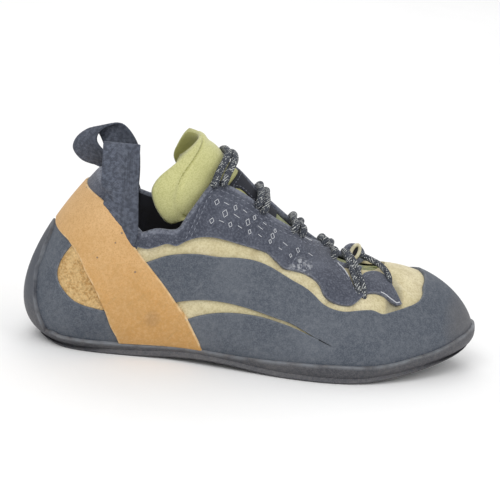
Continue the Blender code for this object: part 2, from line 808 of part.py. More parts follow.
def bottom_point(ring, inset, offset):
    """Point under the last's bottom, inside its edge."""
    point = last_point(ring, np.zeros_like(ring)) - foot_normal(ring) * inset
    point[..., 2] = ground(point[..., 0]) + UNDER_FOOT - offset
    return point


def ring_places():
    return np.arange(2 * HALF_RING) * RING / (2 * HALF_RING)


def make_upper():
    """Hollow leather body, from the margin under the foot to the throat."""
    rings = ring_places()
    band = BAND(rings)
    low = band[:, None] * np.array(BAND_ROWS)[None, :]
    rises = np.concatenate((low, profile_rows(band, THROAT(rings), 7)[:, 1:]), axis=1)
    wide = np.repeat(rings[:, None], rises.shape[1], axis=1)
    inner, outer = layer_grid(wide, rises, 0.0, LEATHER)
    margin_in = bottom_point(rings, LASTING_MARGIN, 0.0)
    margin_out = bottom_point(rings, LASTING_MARGIN, LEATHER)
    edge_in = corner_point(rings, 0.0)
    edge_out = corner_point(rings, LEATHER)
    inner = np.concatenate((margin_in[:, None], edge_in[:, None], inner), axis=1)
    outer = np.concatenate((margin_out[:, None], edge_out[:, None], outer), axis=1)
    shell = Shell()
    shell.grid(inner, outer, closed=True)
    return shell.build("upper", "leather")


def cross_rows(inner_edge, outer_edge, columns):
    """Points across the shoe between the two sides of a closed edge, and its two ends."""
    half = len(inner_edge) // 2
    rows = []
    for index in range(1, half):
        near_in, near_out = inner_edge[index], outer_edge[index]
        far_in, far_out = inner_edge[-index], outer_edge[-index]
        row = []
        for column in range(columns + 1):
            share = column / columns
            row.append((near_in * (1 - share) + far_in * share, near_out * (1 - share) + far_out * share))
        rows.append(row)
    return rows


def make_outsole():
    """Sole with its side band and its wrap up the back of the heel."""
    rings = ring_places()
    band = BAND(rings)
    shell = Shell()
    low_in = bottom_point(rings, SOLE_INSET, OVER)
    low_out = last_point(rings, np.zeros_like(rings)) + foot_normal(rings) * (SOLE_LIP - SOLE_CHAMFER)
    low_out[:, 2] = ground(low_out[:, 0])
    side_out = last_point(rings, np.zeros_like(rings)) + foot_normal(rings) * SOLE_LIP
    side_out[:, 2] = ground(side_out[:, 0]) + SOLE_CHAMFER
    edge_in = corner_point(rings, OVER)
    rises = band[:, None] * np.array(BAND_ROWS)[None, :]
    wide = np.repeat(rings[:, None], len(BAND_ROWS), axis=1)
    up_in, up_out = layer_grid(wide, rises, OVER, SOLE_SIDE)
    inner = np.concatenate((low_in[:, None], edge_in[:, None], up_in), axis=1)
    outer = np.concatenate((low_out[:, None], side_out[:, None], up_out), axis=1)
    shell.grid(inner, outer, closed=True)
    rows = cross_rows(low_in, low_out, 3)
    for row in rows:
        for index, (near, far) in enumerate(row):
            if 0 < index < len(row) - 1:
                near = near.copy()
                far = far.copy()
                near[2] = float(ground(near[0])) + UNDER_FOOT - OVER
                far[2] = float(ground(far[0]))
                row[index] = (near, far)
    for index in range(len(rows) - 1):
        here = [shell.point(*pair) for pair in rows[index]]
        ahead = [shell.point(*pair) for pair in rows[index + 1]]
        for column in range(len(here) - 1):
            shell.face((here[column], here[column + 1], ahead[column + 1], ahead[column]))
    heel = shell.point(low_in[0], low_out[0])
    toe = shell.point(low_in[HALF_RING], low_out[HALF_RING])
    first = [shell.point(*pair) for pair in rows[0]]
    final = [shell.point(*pair) for pair in rows[-1]]
    for column in range(len(first) - 1):
        shell.face((heel, first[column + 1], first[column]))
        shell.face((final[column], final[column + 1], toe))
    grid_in, grid_out = heel_wrap_grid(rings)
    shell.grid(grid_in, grid_out)
    return shell.build("outsole", "sole")


def wrap_edge(side):
    """Edge of the sole's heel wrap on one side, down to the side band."""
    end = RING * WRAP_STEPS / (2 * HALF_RING)
    place = end if side == "outer" else RING - end
    kept = WRAP_PATH[WRAP_PATH[:, 0] < end - 0.08]
    return np.vstack((kept, (end, float(BAND(place)))))


def heel_wrap_grid(rings):
    """The wrap's grid: rows up the back of the heel, the lowest on the side band."""
    count = WRAP_ROWS
    shares = np.linspace(0.0, 1.0, count)
    edges = {side: at_shares(wrap_edge(side), shares) for side in ("outer", "inner")}
    inner = []
    outer = []
    middle = edges["outer"][0, 1] + (float(BAND(0.0)) - edges["outer"][0, 1]) * shares
    for row in range(count):
        places = []
        rises = []
        for column in range(-WRAP_STEPS, WRAP_STEPS + 1):
            share = abs(column) / WRAP_STEPS
            edge = edges["outer" if column > 0 else "inner"][row]
            sign = 1.0 if column > 0 else -1.0
            places.append(sign * edge[0] * share)
            rises.append(middle[row] * (1.0 - share) + edge[1] * share)
            if row == count - 1:
                places[-1] = rings[column]
                rises[-1] = float(BAND(rings[column]))
        lift = 0.0 if row == count - 1 else WRAP_LIFT
        near, far = layer_grid(np.array(places), np.array(rises), OVER + lift, SOLE_SIDE - lift)
        inner.append(near)
        outer.append(far)
    return inner, outer


def make_insole():
    """Thin board on the lasting margin."""
    rings = ring_places()[::2]
    low = bottom_point(rings, INSOLE_INSET, -INSOLE_LIFT)
    high = bottom_point(rings, INSOLE_INSET, -INSOLE_LIFT - INSOLE)
    shell = Shell()
    rows = cross_rows(low, high, 2)
    heel = shell.point(low[0], high[0])
    toe = shell.point(low[len(rings) // 2], high[len(rings) // 2])
    ids = []
    for row in rows:
        line = []
        for near, far in row:
            near = near.copy()
            far = far.copy()
            near[2] = float(ground(near[0])) + UNDER_FOOT + INSOLE_LIFT
            far[2] = near[2] + INSOLE
            line.append(shell.point(near, far))
        ids.append(line)
    for index in range(len(ids) - 1):
        here = ids[index]
        ahead = ids[index + 1]
        for column in range(len(here) - 1):
            shell.face((here[column], ahead[column], ahead[column + 1], here[column + 1]))
    for column in range(len(ids[0]) - 1):
        shell.face((heel, ids[0][column], ids[0][column + 1]))
        shell.face((ids[-1][column + 1], ids[-1][column], toe))
    return shell.build("insole", "insole")


def ring_step(ring, rise, distance):
    """Change of ring place that moves a point by a distance round the shoe."""
    size = np.linalg.norm(last_point(ring + 0.02, rise) - last_point(ring - 0.02, rise))
    return 0.04 * distance / size


def rise_step(ring, rise, distance):
    """Change of rise that moves a point by a distance up the shoe."""
    size = np.linalg.norm(last_point(ring, rise + 0.01) - last_point(ring, rise - 0.01))
    return 0.02 * distance / size


def crossing(path, row, distance):
    """Ring place past which a row starts, a distance in front of a panel's edge path."""
    miss = path[:, 1] - np.array([row(ring) for ring in path[:, 0]])
    for index in range(len(miss) - 1):
        if miss[index] >= 0.0 > miss[index + 1]:
            share = miss[index] / (miss[index] - miss[index + 1])
            ring = path[index, 0] + share * (path[index + 1, 0] - path[index, 0])
            return ring + ring_step(ring, row(ring), distance)
    ring = path[-1, 0]
    return ring + ring_step(ring, row(ring), distance)


def strip_rows(low, high, count):
    """Functions of the ring place for rows between two edges."""
    return [
        lambda ring, share=index / (count - 1): low(ring) + (high(ring) - low(ring)) * share
        for index in range(count)
    ]


def mirror_ring(row):
    """The same row, read on the inner side."""
    return lambda ring: row(RING - ring)


def strip_places(starts, joins, count, step):
    """Ring places of one row: slanted end columns, then even steps round the shoe."""
    start, finish = starts
    join_start, join_finish = joins
    lead = start + (join_start - start) * np.linspace(0.0, 1.0, count)
    middle = np.arange(join_start + step, join_finish - 0.5 * step, step)
    trail = finish + (join_finish - finish) * np.linspace(1.0, 0.0, count)
    return np.concatenate((lead, middle, trail))


def add_strip(shell, rows, starts, joins, count, offset, thickness):
    """A strip of rows whose two ends are slanted."""
    step = RING / (2 * HALF_RING)
    inner = []
    outer = []
    for row, ends in zip(rows, starts):
        rings = strip_places(ends, joins, count, step)
        rises = np.array([float(row(ring)) for ring in rings])
        near, far = layer_grid(rings, rises, offset, thickness)
        inner.append(near)
        outer.append(far)
    inner = np.array(inner).transpose(1, 0, 2)
    outer = np.array(outer).transpose(1, 0, 2)
    return shell.grid(inner, outer)


def above_band(ring):
    """Rise just above the sole's side band."""
    rise = float(BAND(ring))
    return rise + rise_step(ring, rise, SEAM)


def rand_top(ring):
    return float(RAND_EDGE(ring))


def slot_row(path):
    """A function from ring place to rise: the slot's edge, and past its tip the rand's middle."""
    tip_ring, tip_rise = SLOT_TOP_PATH[-1]

    def rise(ring):
        if ring < tip_ring:
            return float(np.interp(ring, path[:, 0], path[:, 1]))
        blend = min((ring - tip_ring) / SLOT_FADE, 1.0)
        blend = blend * blend * (3.0 - 2.0 * blend)
        middle = 0.5 * (above_band(ring) + rand_top(ring))
        return (1.0 - blend) * tip_rise + blend * middle

    return rise


def make_rand():
    """Rubber round the forefoot, with the long slot on its outer side."""
    shell = Shell()
    slot_tip = SLOT_TOP_PATH[-1][0]
    below = strip_rows(above_band, slot_row(SLOT_LOW_PATH), 5)
    above = strip_rows(slot_row(SLOT_TOP_PATH), rand_top, 4)
    joins = (slot_tip, RING - slot_tip)
    for rows in (below, above):
        ends = []
        for row in rows:
            start = crossing(SLING_FRONT_PATH, row, SLING_SEAM)
            finish = RING - crossing(SLING_FRONT_PATH, mirror_ring(row), SLING_SEAM)
            ends.append((start, finish))
        add_strip(shell, rows, ends, joins, 11, OVER, RAND)
    return shell.build("rand", "rand")


def make_sling():
    """Heel strap, from the sole on the outer side round the heel to the inner side."""
    rows = 13
    rear = resample(SLING_REAR_PATH, rows)
    front = resample(SLING_FRONT_PATH, rows)
    for path in (rear, front):
        path[-1, 1] = above_band(path[-1, 0])
    rings, rises = between(rear, front, 5)
    for path in (rear, front):
        path[-1, 1] = above_band(RING - path[-1, 0])
    rises_in = between(rear, front, 5)[1]
    rings = np.concatenate((rings[:0:-1], -rings))
    rises = np.concatenate((rises[:0:-1], rises_in))
    inner, outer = layer_grid(rings, rises, OVER + SLING_LIFT, SLING)
    shell = Shell()
    shell.grid(inner, outer)
    return shell.build("sling", "sling")


def heel_paths(side):
    """Edges of the heel panels, at the sole's wrap and at the sling."""
    wrap = wrap_edge(side)
    left = np.vstack((wrap[:-1], band_path(wrap[-1][0], SLING_REAR_PATH[-1][0], side)))
    for place in left:
        place[0] += ring_step(place[0], place[1], WRAP_SEAM)
        place[1] += rise_step(place[0], place[1], WRAP_SEAM)
    right = SLING_REAR_PATH.copy()
    for place in right:
        place[0] -= ring_step(place[0], place[1], SLING_SEAM)
    return left, right


def band_path(start, finish, side):
    """Places along the top of the sole's side band."""
    rings = np.linspace(start, finish, 12)
    places = rings if side == "outer" else RING - rings
    return np.stack((rings, BAND(places)), axis=1)


def nearest_share(path, place):
    points = layer_point(path[:, 0], path[:, 1], OVER)
    target = layer_point(place[0], place[1], OVER)
    steps = np.linalg.norm(np.diff(points, axis=0), axis=1)
    reach = np.concatenate(((0.0,), np.cumsum(steps)))
    return reach[np.argmin(np.linalg.norm(points - target, axis=1))] / reach[-1]


def make_heel_panels(side):
    """Dark rubber beside the heel and the amber patch in its cut-out."""
    left, right = heel_paths(side)
    cut = edge_path(HEEL_CUTOUT)
    first = nearest_share(right, cut[0])
    final = nearest_share(right, cut[-1])
    before = np.linspace(HEEL_PANEL_START, first, 5)
    inside = np.linspace(first, final, 11)
    after = np.linspace(final, HEEL_PANEL_END, 4)
    shares = np.concatenate((before[:-1], inside, after[1:]))
    left_places = at_shares(left, shares)
    right_places = at_shares(right, shares)
    cut_places = resample(cut, len(inside))
    cut_places[0] = right_places[len(before) - 1]
    cut_places[-1] = right_places[len(before) + len(inside) - 2]
    edge = right_places.copy()
    edge[len(before) - 1:len(before) + len(inside) - 1] = cut_places
    sign = 1.0 if side == "outer" else -1.0
    rings, rises = between(left_places, edge, 5)
    inner, outer = layer_grid(sign * rings, rises, OVER, HEEL_RAND)
    shell = Shell()
    shell.grid(inner, outer)
    shell.build("heel_rand_" + side, "rand")
    patch_edge = cut_places.copy()
    for place in patch_edge[1:-1]:
        place[0] += ring_step(place[0], place[1], PATCH_SEAM)
    patch_right = right_places[len(before) - 1:len(before) + len(inside) - 1]
    rings, rises = between(patch_edge[1:-1], patch_right[1:-1], 4)
    inner, outer = layer_grid(sign * rings, rises, OVER, PATCH)
    shell = Shell()
    shell.grid(inner, outer)
    shell.build("heel_patch_" + side, "patch")


def path_rise(path, left=None):
    """A function from ring place to rise along a path."""
    order = np.maximum.accumulate(path[:, 0] + np.arange(len(path)) * 1e-9)
    return lambda ring: float(np.interp(ring, order, path[:, 1], left=left))


def above_sling(ring):
    """Rise just above the sling's front edge."""
    if ring > SLING_FRONT_PATH[-1, 0]:
        return 0.0
    rise = path_rise(SLING_FRONT_PATH)(ring)
    return rise + rise_step(ring, rise, SLING_CLEAR)


def quarter_edges(side):
    """Lower and upper edge of the quarter over the ring, and the ring place of its tip."""
    if side == "outer":
        low_path = edge_path(QUARTER_LOW_OUT)
        top_path = edge_path(QUARTER_TOP_OUT)
        tip = 0.5 * (low_path[-1, 0] + top_path[-1, 0])
    else:
        low_path = edge_path(QUARTER_LOW_IN)
        low_path[:, 0] = RING - low_path[:, 0]
        top_path = None
        tip = low_path[-1, 0]
    base = path_rise(low_path, left=0.0)

    def low(ring):
        return max(base(ring), above_sling(ring))

    def top(ring):
        place = ring if side == "outer" else RING - ring
        rim = float(THROAT(place)) - rise_step(ring, TOP_RISE, QUARTER_INSET)
        return rim if top_path is None else min(path_rise(top_path, left=1.0)(ring), rim)

    return low, top, tip


def make_quarter(side):
    """Microfibre collar band and eyestay in one piece, from the heel's back seam on."""
    low, top, tip = quarter_edges(side)
    start = ring_step(0.0, 0.9, 0.5 * SEAM)
    rings = start + (tip - start) * np.linspace(0.0, 1.0, QUARTER_COLUMNS)
    places = rings if side == "outer" else RING - rings
    shell = Shell()
    inner = []
    outer = []
    for row in strip_rows(low, top, 5):
        rises = np.array([row(ring) for ring in rings])
        near, far = layer_grid(places, rises, OVER + QUARTER_LIFT, QUARTER)
        inner.append(near)
        outer.append(far)
    shell.grid(np.array(inner).transpose(1, 0, 2), np.array(outer).transpose(1, 0, 2))
    return shell.build("quarter_" + side, "microfibre")


def tongue_surface():
    """Outer points of the tongue, from its toe end to its flared top."""
    rows = []
    shares = np.linspace(-1.0, 1.0, TONGUE_COLUMN_COUNT)
    middle_out, edge_in, edge_up = TONGUE_FULLNESS
    for ring in TONGUE_RINGS:
        edge = TONGUE_EDGE - TONGUE_EDGE_DROP * (TONGUE_RINGS[0] - ring)
        row = []
        for share in shares:
            place = ring if share <= 0.0 else RING - ring
            rise = 1.0 - abs(share) * (1.0 - edge)
            row.append(layer_point(place, min(rise, 0.999), -TONGUE_DROP))
        rows.append(row)
    for values in TONGUE_FLARE:
        column = dict(zip(TONGUE_COLUMNS, values))
        mid = tongue_place(column, "mid")
        row = []
        for share in shares:
            edge = tongue_place(column, "out" if share <= 0.0 else "in")
            reach = mid - edge
            handle_mid = mid - np.array((0.0, middle_out * reach[1], 0.0))
            handle_edge = edge + np.array((edge_in * reach[0], 0.0, edge_up * reach[2]))
            t = abs(share)
            u = 1.0 - t
            row.append(mid * u ** 3 + 3 * handle_mid * u * u * t + 3 * handle_edge * u * t * t + edge * t ** 3)
        rows.append(row)
    return np.array(rows)


def tongue_place(column, name):
    return np.array((
        along_x(column[name + "_x"]),
        column[name + "_y"] * BALL_WIDTH,
        column[name + "_z"] * INSTEP_HEIGHT,
    ))


def grid_normals(points):
    """Directions across a grid of points, from its rows and columns."""
    along = np.gradient(points, axis=0)
    across = np.gradient(points, axis=1)
    normal = np.cross(across, along)
    return normal / np.linalg.norm(normal, axis=-1)[..., None]


def outward_normals(surface):
    """Directions out of the tongue's surface, which point up over the instep."""
    normals = grid_normals(surface)
    return normals if normals[3, TONGUE_COLUMN_COUNT // 2, 2] > 0.0 else -normals


def make_tongue():
    """Padded tongue: a curved sheet under the throat with a flared top."""
    outer = tongue_surface()
    inner = outer - outward_normals(outer) * TONGUE
    shell = Shell()
    shell.grid(inner, outer)
    return shell.build("tongue", "tongue")


def make_label():
    """Blank patch sewn on the tongue."""
    surface = tongue_surface()
    normals = outward_normals(surface)[LABEL_ROWS, LABEL_COLUMNS]
    surface = surface[LABEL_ROWS, LABEL_COLUMNS]
    inner = surface + normals * GAP
    outer = surface + normals * (GAP + LABEL)
    shell = Shell()
    shell.grid(inner, outer)
    return shell.build("tongue_label", "microfibre")


def make_lace():
    """Round cord in bars across the tongue, from the top eyelets to the toe end."""
    seat = OVER + QUARTER_LIFT + QUARTER + GAP + 0.5 * LACE
    lifted = seat + LACE_LIFT
    points = []
    for index, ring in enumerate(EYELETS):
        bar = []
        for place in (ring, RING - ring):
            rise = float(THROAT(place)) - rise_step(place, TOP_RISE, EYELET_INSET)
            ridge = rise + (RIDGE_RISE - rise) * LACE_RIDGE
            bar.append(layer_point(place, rise, seat))
            bar.append(layer_point(place, ridge, lifted))
        bar = [bar[0], bar[1], bar[3], bar[2]]
        points.extend(reversed(bar) if index % 2 else bar)
    path = smooth_path(points, 2)
    curve = bpy.data.curves.new("lace", "CURVE")
    curve.dimensions = "3D"
    curve.bevel_depth = 0.5 * LACE
    curve.bevel_resolution = 1
    curve.use_fill_caps = True
    spline = curve.splines.new("POLY")
    spline.points.add(len(path) - 1)
    for place, point in zip(spline.points, path):
        place.co = (*point, 1.0)
    return add_object("lace", curve, "lace")


def make_pull_loop(side):
    """Folded webbing loop: one leg outside the collar down to the sling, one inside it."""
    sign = 1.0 if side == "outer" else -1.0
    seat = find_place(("out", "side", LOOP_SEAT, LOOP_SEAT_HEIGHT))[0]
    columns = np.linspace(-0.5, 0.5, 4) * WEBBING_WIDTH
    rings = np.array([seat + ring_step(seat, TOP_RISE, column) for column in columns])
    places = rings if side == "outer" else RING - rings
    rims = THROAT(places)
    lows = np.array([above_sling(ring) for ring in rings])
    outside = OVER + QUARTER_LIFT + QUARTER + LOOP_LIFT + 0.5 * WEBBING
    rows = []
    for share in (0.0, 0.5, 1.0):
        rows.append(layer_point(places, lows + (rims - lows) * share, outside))
    base = rows[-1].mean(axis=0)
    for values in (LOOP_OUTER if side == "outer" else LOOP_INNER):
        column = dict(zip(LOOP_COLUMNS, values))
        shift = np.array((column["forward"], -sign * column["outward"], column["up"])) * LOOP_HEIGHT
        turn = math.radians(column["turn"])
        lean = -math.sin(turn) * LOOP_LEAN[0]
        lift = math.sin(turn) * LOOP_LEAN[1]
        width = np.array((math.cos(turn), lean, lift))
        width /= np.linalg.norm(width)
        rows.append(base + shift + columns[:, None] * width)
    inside = LOOP_INSIDE + 0.5 * WEBBING
    tail = np.array([rise_step(ring, TOP_RISE, LOOP_TAIL) for ring in rings])
    rows.append(layer_point(places, rims, -inside))
    rows.append(layer_point(places, rims - tail, -inside))
    rows = np.array(rows)
    surface = np.array([smooth_path(rows[:, column], 2) for column in range(len(columns))])
    surface = surface.transpose(1, 0, 2)
    normals = grid_normals(surface) * 0.5 * WEBBING
    shell = Shell()
    shell.grid(surface - normals, surface + normals)
    return shell.build("pull_loop_" + side, "webbing")


def make_eyelet_tab():
    """Raised front tab of the inner eyestay, with its eyelet hole."""
    centre = np.array((
        along_x(TAB_PLACE[0]),
        TAB_PLACE[1] * BALL_WIDTH,
        TAB_PLACE[2] * INSTEP_HEIGHT,
    ))
    along = np.array(TAB_ALONG)
    upward = np.array(TAB_UP)
    upward -= along * np.dot(along, upward)
    upward /= np.linalg.norm(upward)
    face = np.cross(along, upward)
    shell = Shell()
    inner = []
    outer = []
    for step in range(TAB_SIDES):
        turn = 2.0 * math.pi * step / TAB_SIDES
        spoke = along * math.cos(turn) + upward * math.sin(turn)
        rim = along * math.cos(turn) * 0.5 * TAB_LENGTH + upward * math.sin(turn) * 0.5 * TAB_HEIGHT
        places = (spoke * EYELET_HOLE * 0.5, rim)
        inner.append([centre + place - face * TAB_WALL * 0.5 for place in places])
        outer.append([centre + place + face * TAB_WALL * 0.5 for place in places])
    shell.grid(inner, outer, closed=True)
    return shell.build("eyelet_tab", "microfibre")


for old in list(bpy.data.objects):
    bpy.data.objects.remove(old, do_unlink=True)
COLLECTION = bpy.data.collections.new("climbing_shoe")
bpy.context.scene.collection.children.link(COLLECTION)

THROAT = ring_edge(THROAT_EDGE, closed=True)
BAND = ring_edge(SOLE_EDGE, closed=True)
RAND_EDGE = ring_edge(RAND_TOP, closed=False)
SLOT_TOP_PATH = edge_path(SLOT_TOP)
SLOT_LOW_PATH = edge_path(SLOT_LOW)
WRAP_PATH = edge_path(HEEL_WRAP)
SLING_REAR_PATH = edge_path(SLING_REAR)
SLING_FRONT_PATH = edge_path(SLING_FRONT)

make_upper()
make_outsole()
make_insole()
make_tongue()
make_rand()
make_sling()
for side in ("outer", "inner"):
    make_heel_panels(side)
    make_quarter(side)
    make_pull_loop(side)
make_label()
make_eyelet_tab()
make_lace()
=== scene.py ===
"""Looks of a climbing shoe, right foot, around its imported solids.

Metres. +X runs from heel to toe, +Y to the inner side of the foot, +Z up.
Panels are sheets laid over one last: ring places go round the shoe from the back of the
heel along the outer side to the toe and back, and rises go from the sole to the ridge.
"""

import math

import bmesh
import bpy
import numpy as np
from bpy.props import FloatProperty, FloatVectorProperty, PointerProperty
from mathutils import Matrix, Vector
from mathutils.kdtree import KDTree


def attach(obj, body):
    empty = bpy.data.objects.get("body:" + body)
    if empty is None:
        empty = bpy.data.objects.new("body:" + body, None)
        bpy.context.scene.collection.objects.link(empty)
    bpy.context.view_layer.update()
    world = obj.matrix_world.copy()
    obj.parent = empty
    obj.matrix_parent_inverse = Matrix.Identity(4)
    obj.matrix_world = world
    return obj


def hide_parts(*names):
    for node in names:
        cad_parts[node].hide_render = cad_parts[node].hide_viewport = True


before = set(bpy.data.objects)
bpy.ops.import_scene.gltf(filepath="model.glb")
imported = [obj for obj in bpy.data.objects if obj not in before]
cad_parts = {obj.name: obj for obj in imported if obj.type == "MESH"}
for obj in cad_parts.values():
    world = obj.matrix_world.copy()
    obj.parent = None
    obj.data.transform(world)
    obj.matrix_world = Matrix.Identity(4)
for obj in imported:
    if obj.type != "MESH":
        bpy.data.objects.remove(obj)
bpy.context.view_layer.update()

bl_info = {
    "name": "Climbing shoe",
    "version": (1, 0, 0),
    "blender": (4, 5, 0),
    "location": "3D View > Sidebar > Shoe",
    "description": "Leather, rubber, webbing and lace of a climbing shoe",
    "category": "Object",
}

BODY = "root"
MERGE = 0.00002
OUTER = "outer"
INNER = "inner"
SIDES = (OUTER, INNER)

# The last: where it rests on the floor, and where its heights turn from the heel's to the instep's
HEEL_REST = 0.1725
HEEL_BEVEL = 0.0012
HEEL_FLAT = 0.105
HEEL_BEVEL_LENGTH = 0.045
ARCH_START = 0.235
ARCH_END = 0.575
SPRING_START = 0.708
SPRING_END = 0.979
SPRING_BEND = 1.35
INSTEP_START = 0.2
INSTEP_SPAN = 0.25
RIDGE_RISE = 0.995
TOP_RISE = 0.8

# The last's profile curves, from the heel's back to the toe's tip, one pair a row
STATION_COLUMNS = (
    "out_along", "out_across", "in_along", "in_across", "out_flare", "in_flare",
    "low", "lean", "high", "top_along", "top_across", "top",
)
STATIONS = (
    (0.064, 0.0, 0.064, 0.0, 0.218, 0.218, 0.13, 0.125, 0.54, 0.165, 0.0, 1.04),
    (0.108, -0.19, 0.108, 0.185, 0.2, 0.2, 0.15, 0.2, 0.55, 0.18, 0.0, 1.04),
    (0.204, -0.239, 0.204, 0.223, 0.133, 0.128, 0.22, 0.35, 0.6, 0.227, 0.0, 1.04),
    (0.312, -0.255, 0.312, 0.191, 0.128, 0.138, 0.3, 0.22, 0.98, 0.382, 0.01, 1.19),
    (0.413, -0.33, 0.413, 0.202, 0.128, 0.138, 0.28, 0.5, 1.02, 0.452, 0.02, 1.02),
    (0.529, -0.404, 0.533, 0.266, 0.117, 0.117, 0.24, 0.5, 0.81, 0.54, 0.03, 0.81),
    (0.645, -0.452, 0.657, 0.372, 0.101, 0.106, 0.2, 0.45, 0.63, 0.637, 0.045, 0.63),
    (0.754, -0.404, 0.766, 0.404, 0.096, 0.096, 0.19, 0.4, 0.56, 0.715, 0.065, 0.555),
    (0.851, -0.266, 0.863, 0.383, 0.085, 0.085, 0.2, 0.4, 0.56, 0.738, 0.078, 0.55),
    (0.93, -0.085, 0.934, 0.298, 0.096, 0.096, 0.19, 0.34, 0.57, 0.749, 0.085, 0.55),
    (0.967, 0.128, 0.967, 0.128, 0.128, 0.128, 0.17, 0.3, 0.58, 0.753, 0.09, 0.55),
)
LAST_ROW = len(STATIONS) - 1
OPEN_ROWS = 2
RING = 2 * LAST_ROW

# Edges of the panels. A row: side, view, and its places as along and height, or along and across
THROAT_SIDE = (
    (0.229, 0.748), (0.241, 0.723), (0.269, 0.744), (0.299, 0.741), (0.32, 0.759), (0.337, 0.837),
    (0.355, 0.908), (0.38, 0.996), (0.395, 1.005), (0.418, 0.984), (0.461, 0.928), (0.488, 0.881),
    (0.513, 0.834), (0.55, 0.784), (0.585, 0.736), (0.605, 0.708), (0.632, 0.674), (0.651, 0.646),
    (0.664, 0.61),
)
THROAT_EDGE = (
    ("heel", "side", ((0.12, 1.01),)),
    ("out", "side", ((0.145, 0.975), (0.17, 0.925), (0.2, 0.83), *THROAT_SIDE)),
    ("out", "top", ((0.71, -0.075), (0.748, -0.045))),
    ("toe", "top", ((0.78, 0.09),)),
    ("in", "top", (
        (0.75, 0.19), (0.7, 0.19), (0.6, 0.13), (0.5, 0.1), (0.435, 0.11),
    )),
    ("in", "side", (
        (0.39, 0.985), (0.34, 0.87), (0.285, 0.815), (0.23, 0.83), (0.19, 0.89), (0.15, 0.97),
    )),
)
SOLE_EDGE = (
    ("heel", "side", ((0.06, 0.095),)),
    ("out", "side", (
        (0.1, 0.078), (0.17, 0.074), (0.27, 0.076), (0.39, 0.09), (0.45, 0.088), (0.49, 0.09),
        (0.533, 0.094), (0.574, 0.101), (0.638, 0.107), (0.695, 0.11), (0.768, 0.114), (0.808, 0.127),
        (0.839, 0.143), (0.88, 0.161), (0.923, 0.191), (0.962, 0.225),
    )),
    ("toe", "side", ((0.99, 0.25),)),
    ("in", "side", (
        (0.962, 0.225), (0.923, 0.195), (0.88, 0.168), (0.839, 0.15), (0.768, 0.122), (0.638, 0.11),
        (0.49, 0.096), (0.39, 0.09), (0.27, 0.076), (0.17, 0.074), (0.1, 0.078),
    )),
)
HEEL_WRAP = (
    ("heel", "side", ((0.052, 0.69),)),
    ("out", "side", (
        (0.051, 0.639), (0.042, 0.568), (0.036, 0.506), (0.028, 0.432), (0.027, 0.349), (0.029, 0.277),
        (0.036, 0.206), (0.046, 0.143), (0.058, 0.089), (0.07, 0.094),
    )),
)
RAND_TOP = (
    ("out", "side", (
        (0.254, 0.569), (0.283, 0.601), (0.325, 0.628), (0.367, 0.634), (0.407, 0.627), (0.45, 0.63),
        (0.487, 0.62), (0.521, 0.591), (0.562, 0.539), (0.593, 0.503), (0.613, 0.47), (0.634, 0.427),
        (0.657, 0.404), (0.682, 0.394), (0.715, 0.401), (0.741, 0.403), (0.754, 0.394), (0.767, 0.383),
        (0.784, 0.39), (0.821, 0.408), (0.84, 0.419), (0.855, 0.438),
    )),
    ("out", "top", ((0.862, -0.112), (0.864, -0.05))),
    ("toe", "top", ((0.862, 0.05),)),
    ("in", "top", ((0.855, 0.2), (0.815, 0.3))),
    ("in", "side", (
        (0.74, 0.43), (0.64, 0.43), (0.54, 0.52), (0.44, 0.6), (0.34, 0.62), (0.256, 0.58),
    )),
)
SLOT_TOP = (
    ("out", "side", (
        (0.324, 0.352), (0.355, 0.373), (0.398, 0.386), (0.441, 0.381), (0.484, 0.364), (0.529, 0.338),
        (0.566, 0.316), (0.596, 0.284), (0.623, 0.251),
    )),
)
SLOT_LOW = (
    ("out", "side", (
        (0.352, 0.262), (0.38, 0.297), (0.421, 0.326), (0.454, 0.335), (0.497, 0.334), (0.529, 0.322),
        (0.567, 0.3), (0.597, 0.275), (0.623, 0.251),
    )),
)
SLOT_FADE = 1.5
SLING_REAR = (
    ("heel", "side", ((0.052, 0.697),)),
    ("out", "side", (
        (0.078, 0.652), (0.091, 0.631), (0.112, 0.572), (0.129, 0.489), (0.147, 0.418), (0.163, 0.339),
        (0.178, 0.26), (0.192, 0.173), (0.212, 0.088),
    )),
)
SLING_FRONT = (
    ("heel", "side", ((0.118, 0.935),)),
    ("out", "side", (
        (0.131, 0.914), (0.15, 0.895), (0.167, 0.868), (0.19, 0.803), (0.203, 0.75), (0.254, 0.569),
        (0.288, 0.468), (0.324, 0.352), (0.352, 0.262), (0.374, 0.167), (0.391, 0.095),
    )),
)
HEEL_CUTOUT = (
    ("out", "side", (
        (0.092, 0.619), (0.078, 0.557), (0.07, 0.504), (0.067, 0.449), (0.073, 0.401), (0.088, 0.355),
        (0.107, 0.318), (0.128, 0.297), (0.152, 0.284), (0.174, 0.273),
    )),
)
QUARTER_LOW_OUT = (
    ("out", "side", (
        (0.229, 0.66), (0.253, 0.648), (0.274, 0.662), (0.293, 0.679), (0.313, 0.67), (0.331, 0.697),
        (0.352, 0.72), (0.385, 0.729), (0.419, 0.717), (0.452, 0.698), (0.486, 0.68), (0.508, 0.664),
        (0.527, 0.628), (0.546, 0.592), (0.567, 0.582), (0.592, 0.568), (0.613, 0.543), (0.626, 0.515),
        (0.633, 0.479), (0.642, 0.456), (0.66, 0.433), (0.682, 0.423), (0.698, 0.426), (0.711, 0.445),
        (0.724, 0.469), (0.738, 0.479), (0.755, 0.477), (0.771, 0.463), (0.783, 0.444), (0.798, 0.421),
    )),
)
QUARTER_TOP_OUT = (
    ("out", "side", (
        *THROAT_SIDE,
        (0.679, 0.58), (0.693, 0.54), (0.707, 0.489), (0.722, 0.55), (0.741, 0.559), (0.757, 0.557),
        (0.77, 0.547), (0.783, 0.53), (0.798, 0.505), (0.808, 0.481), (0.814, 0.452),
    )),
)
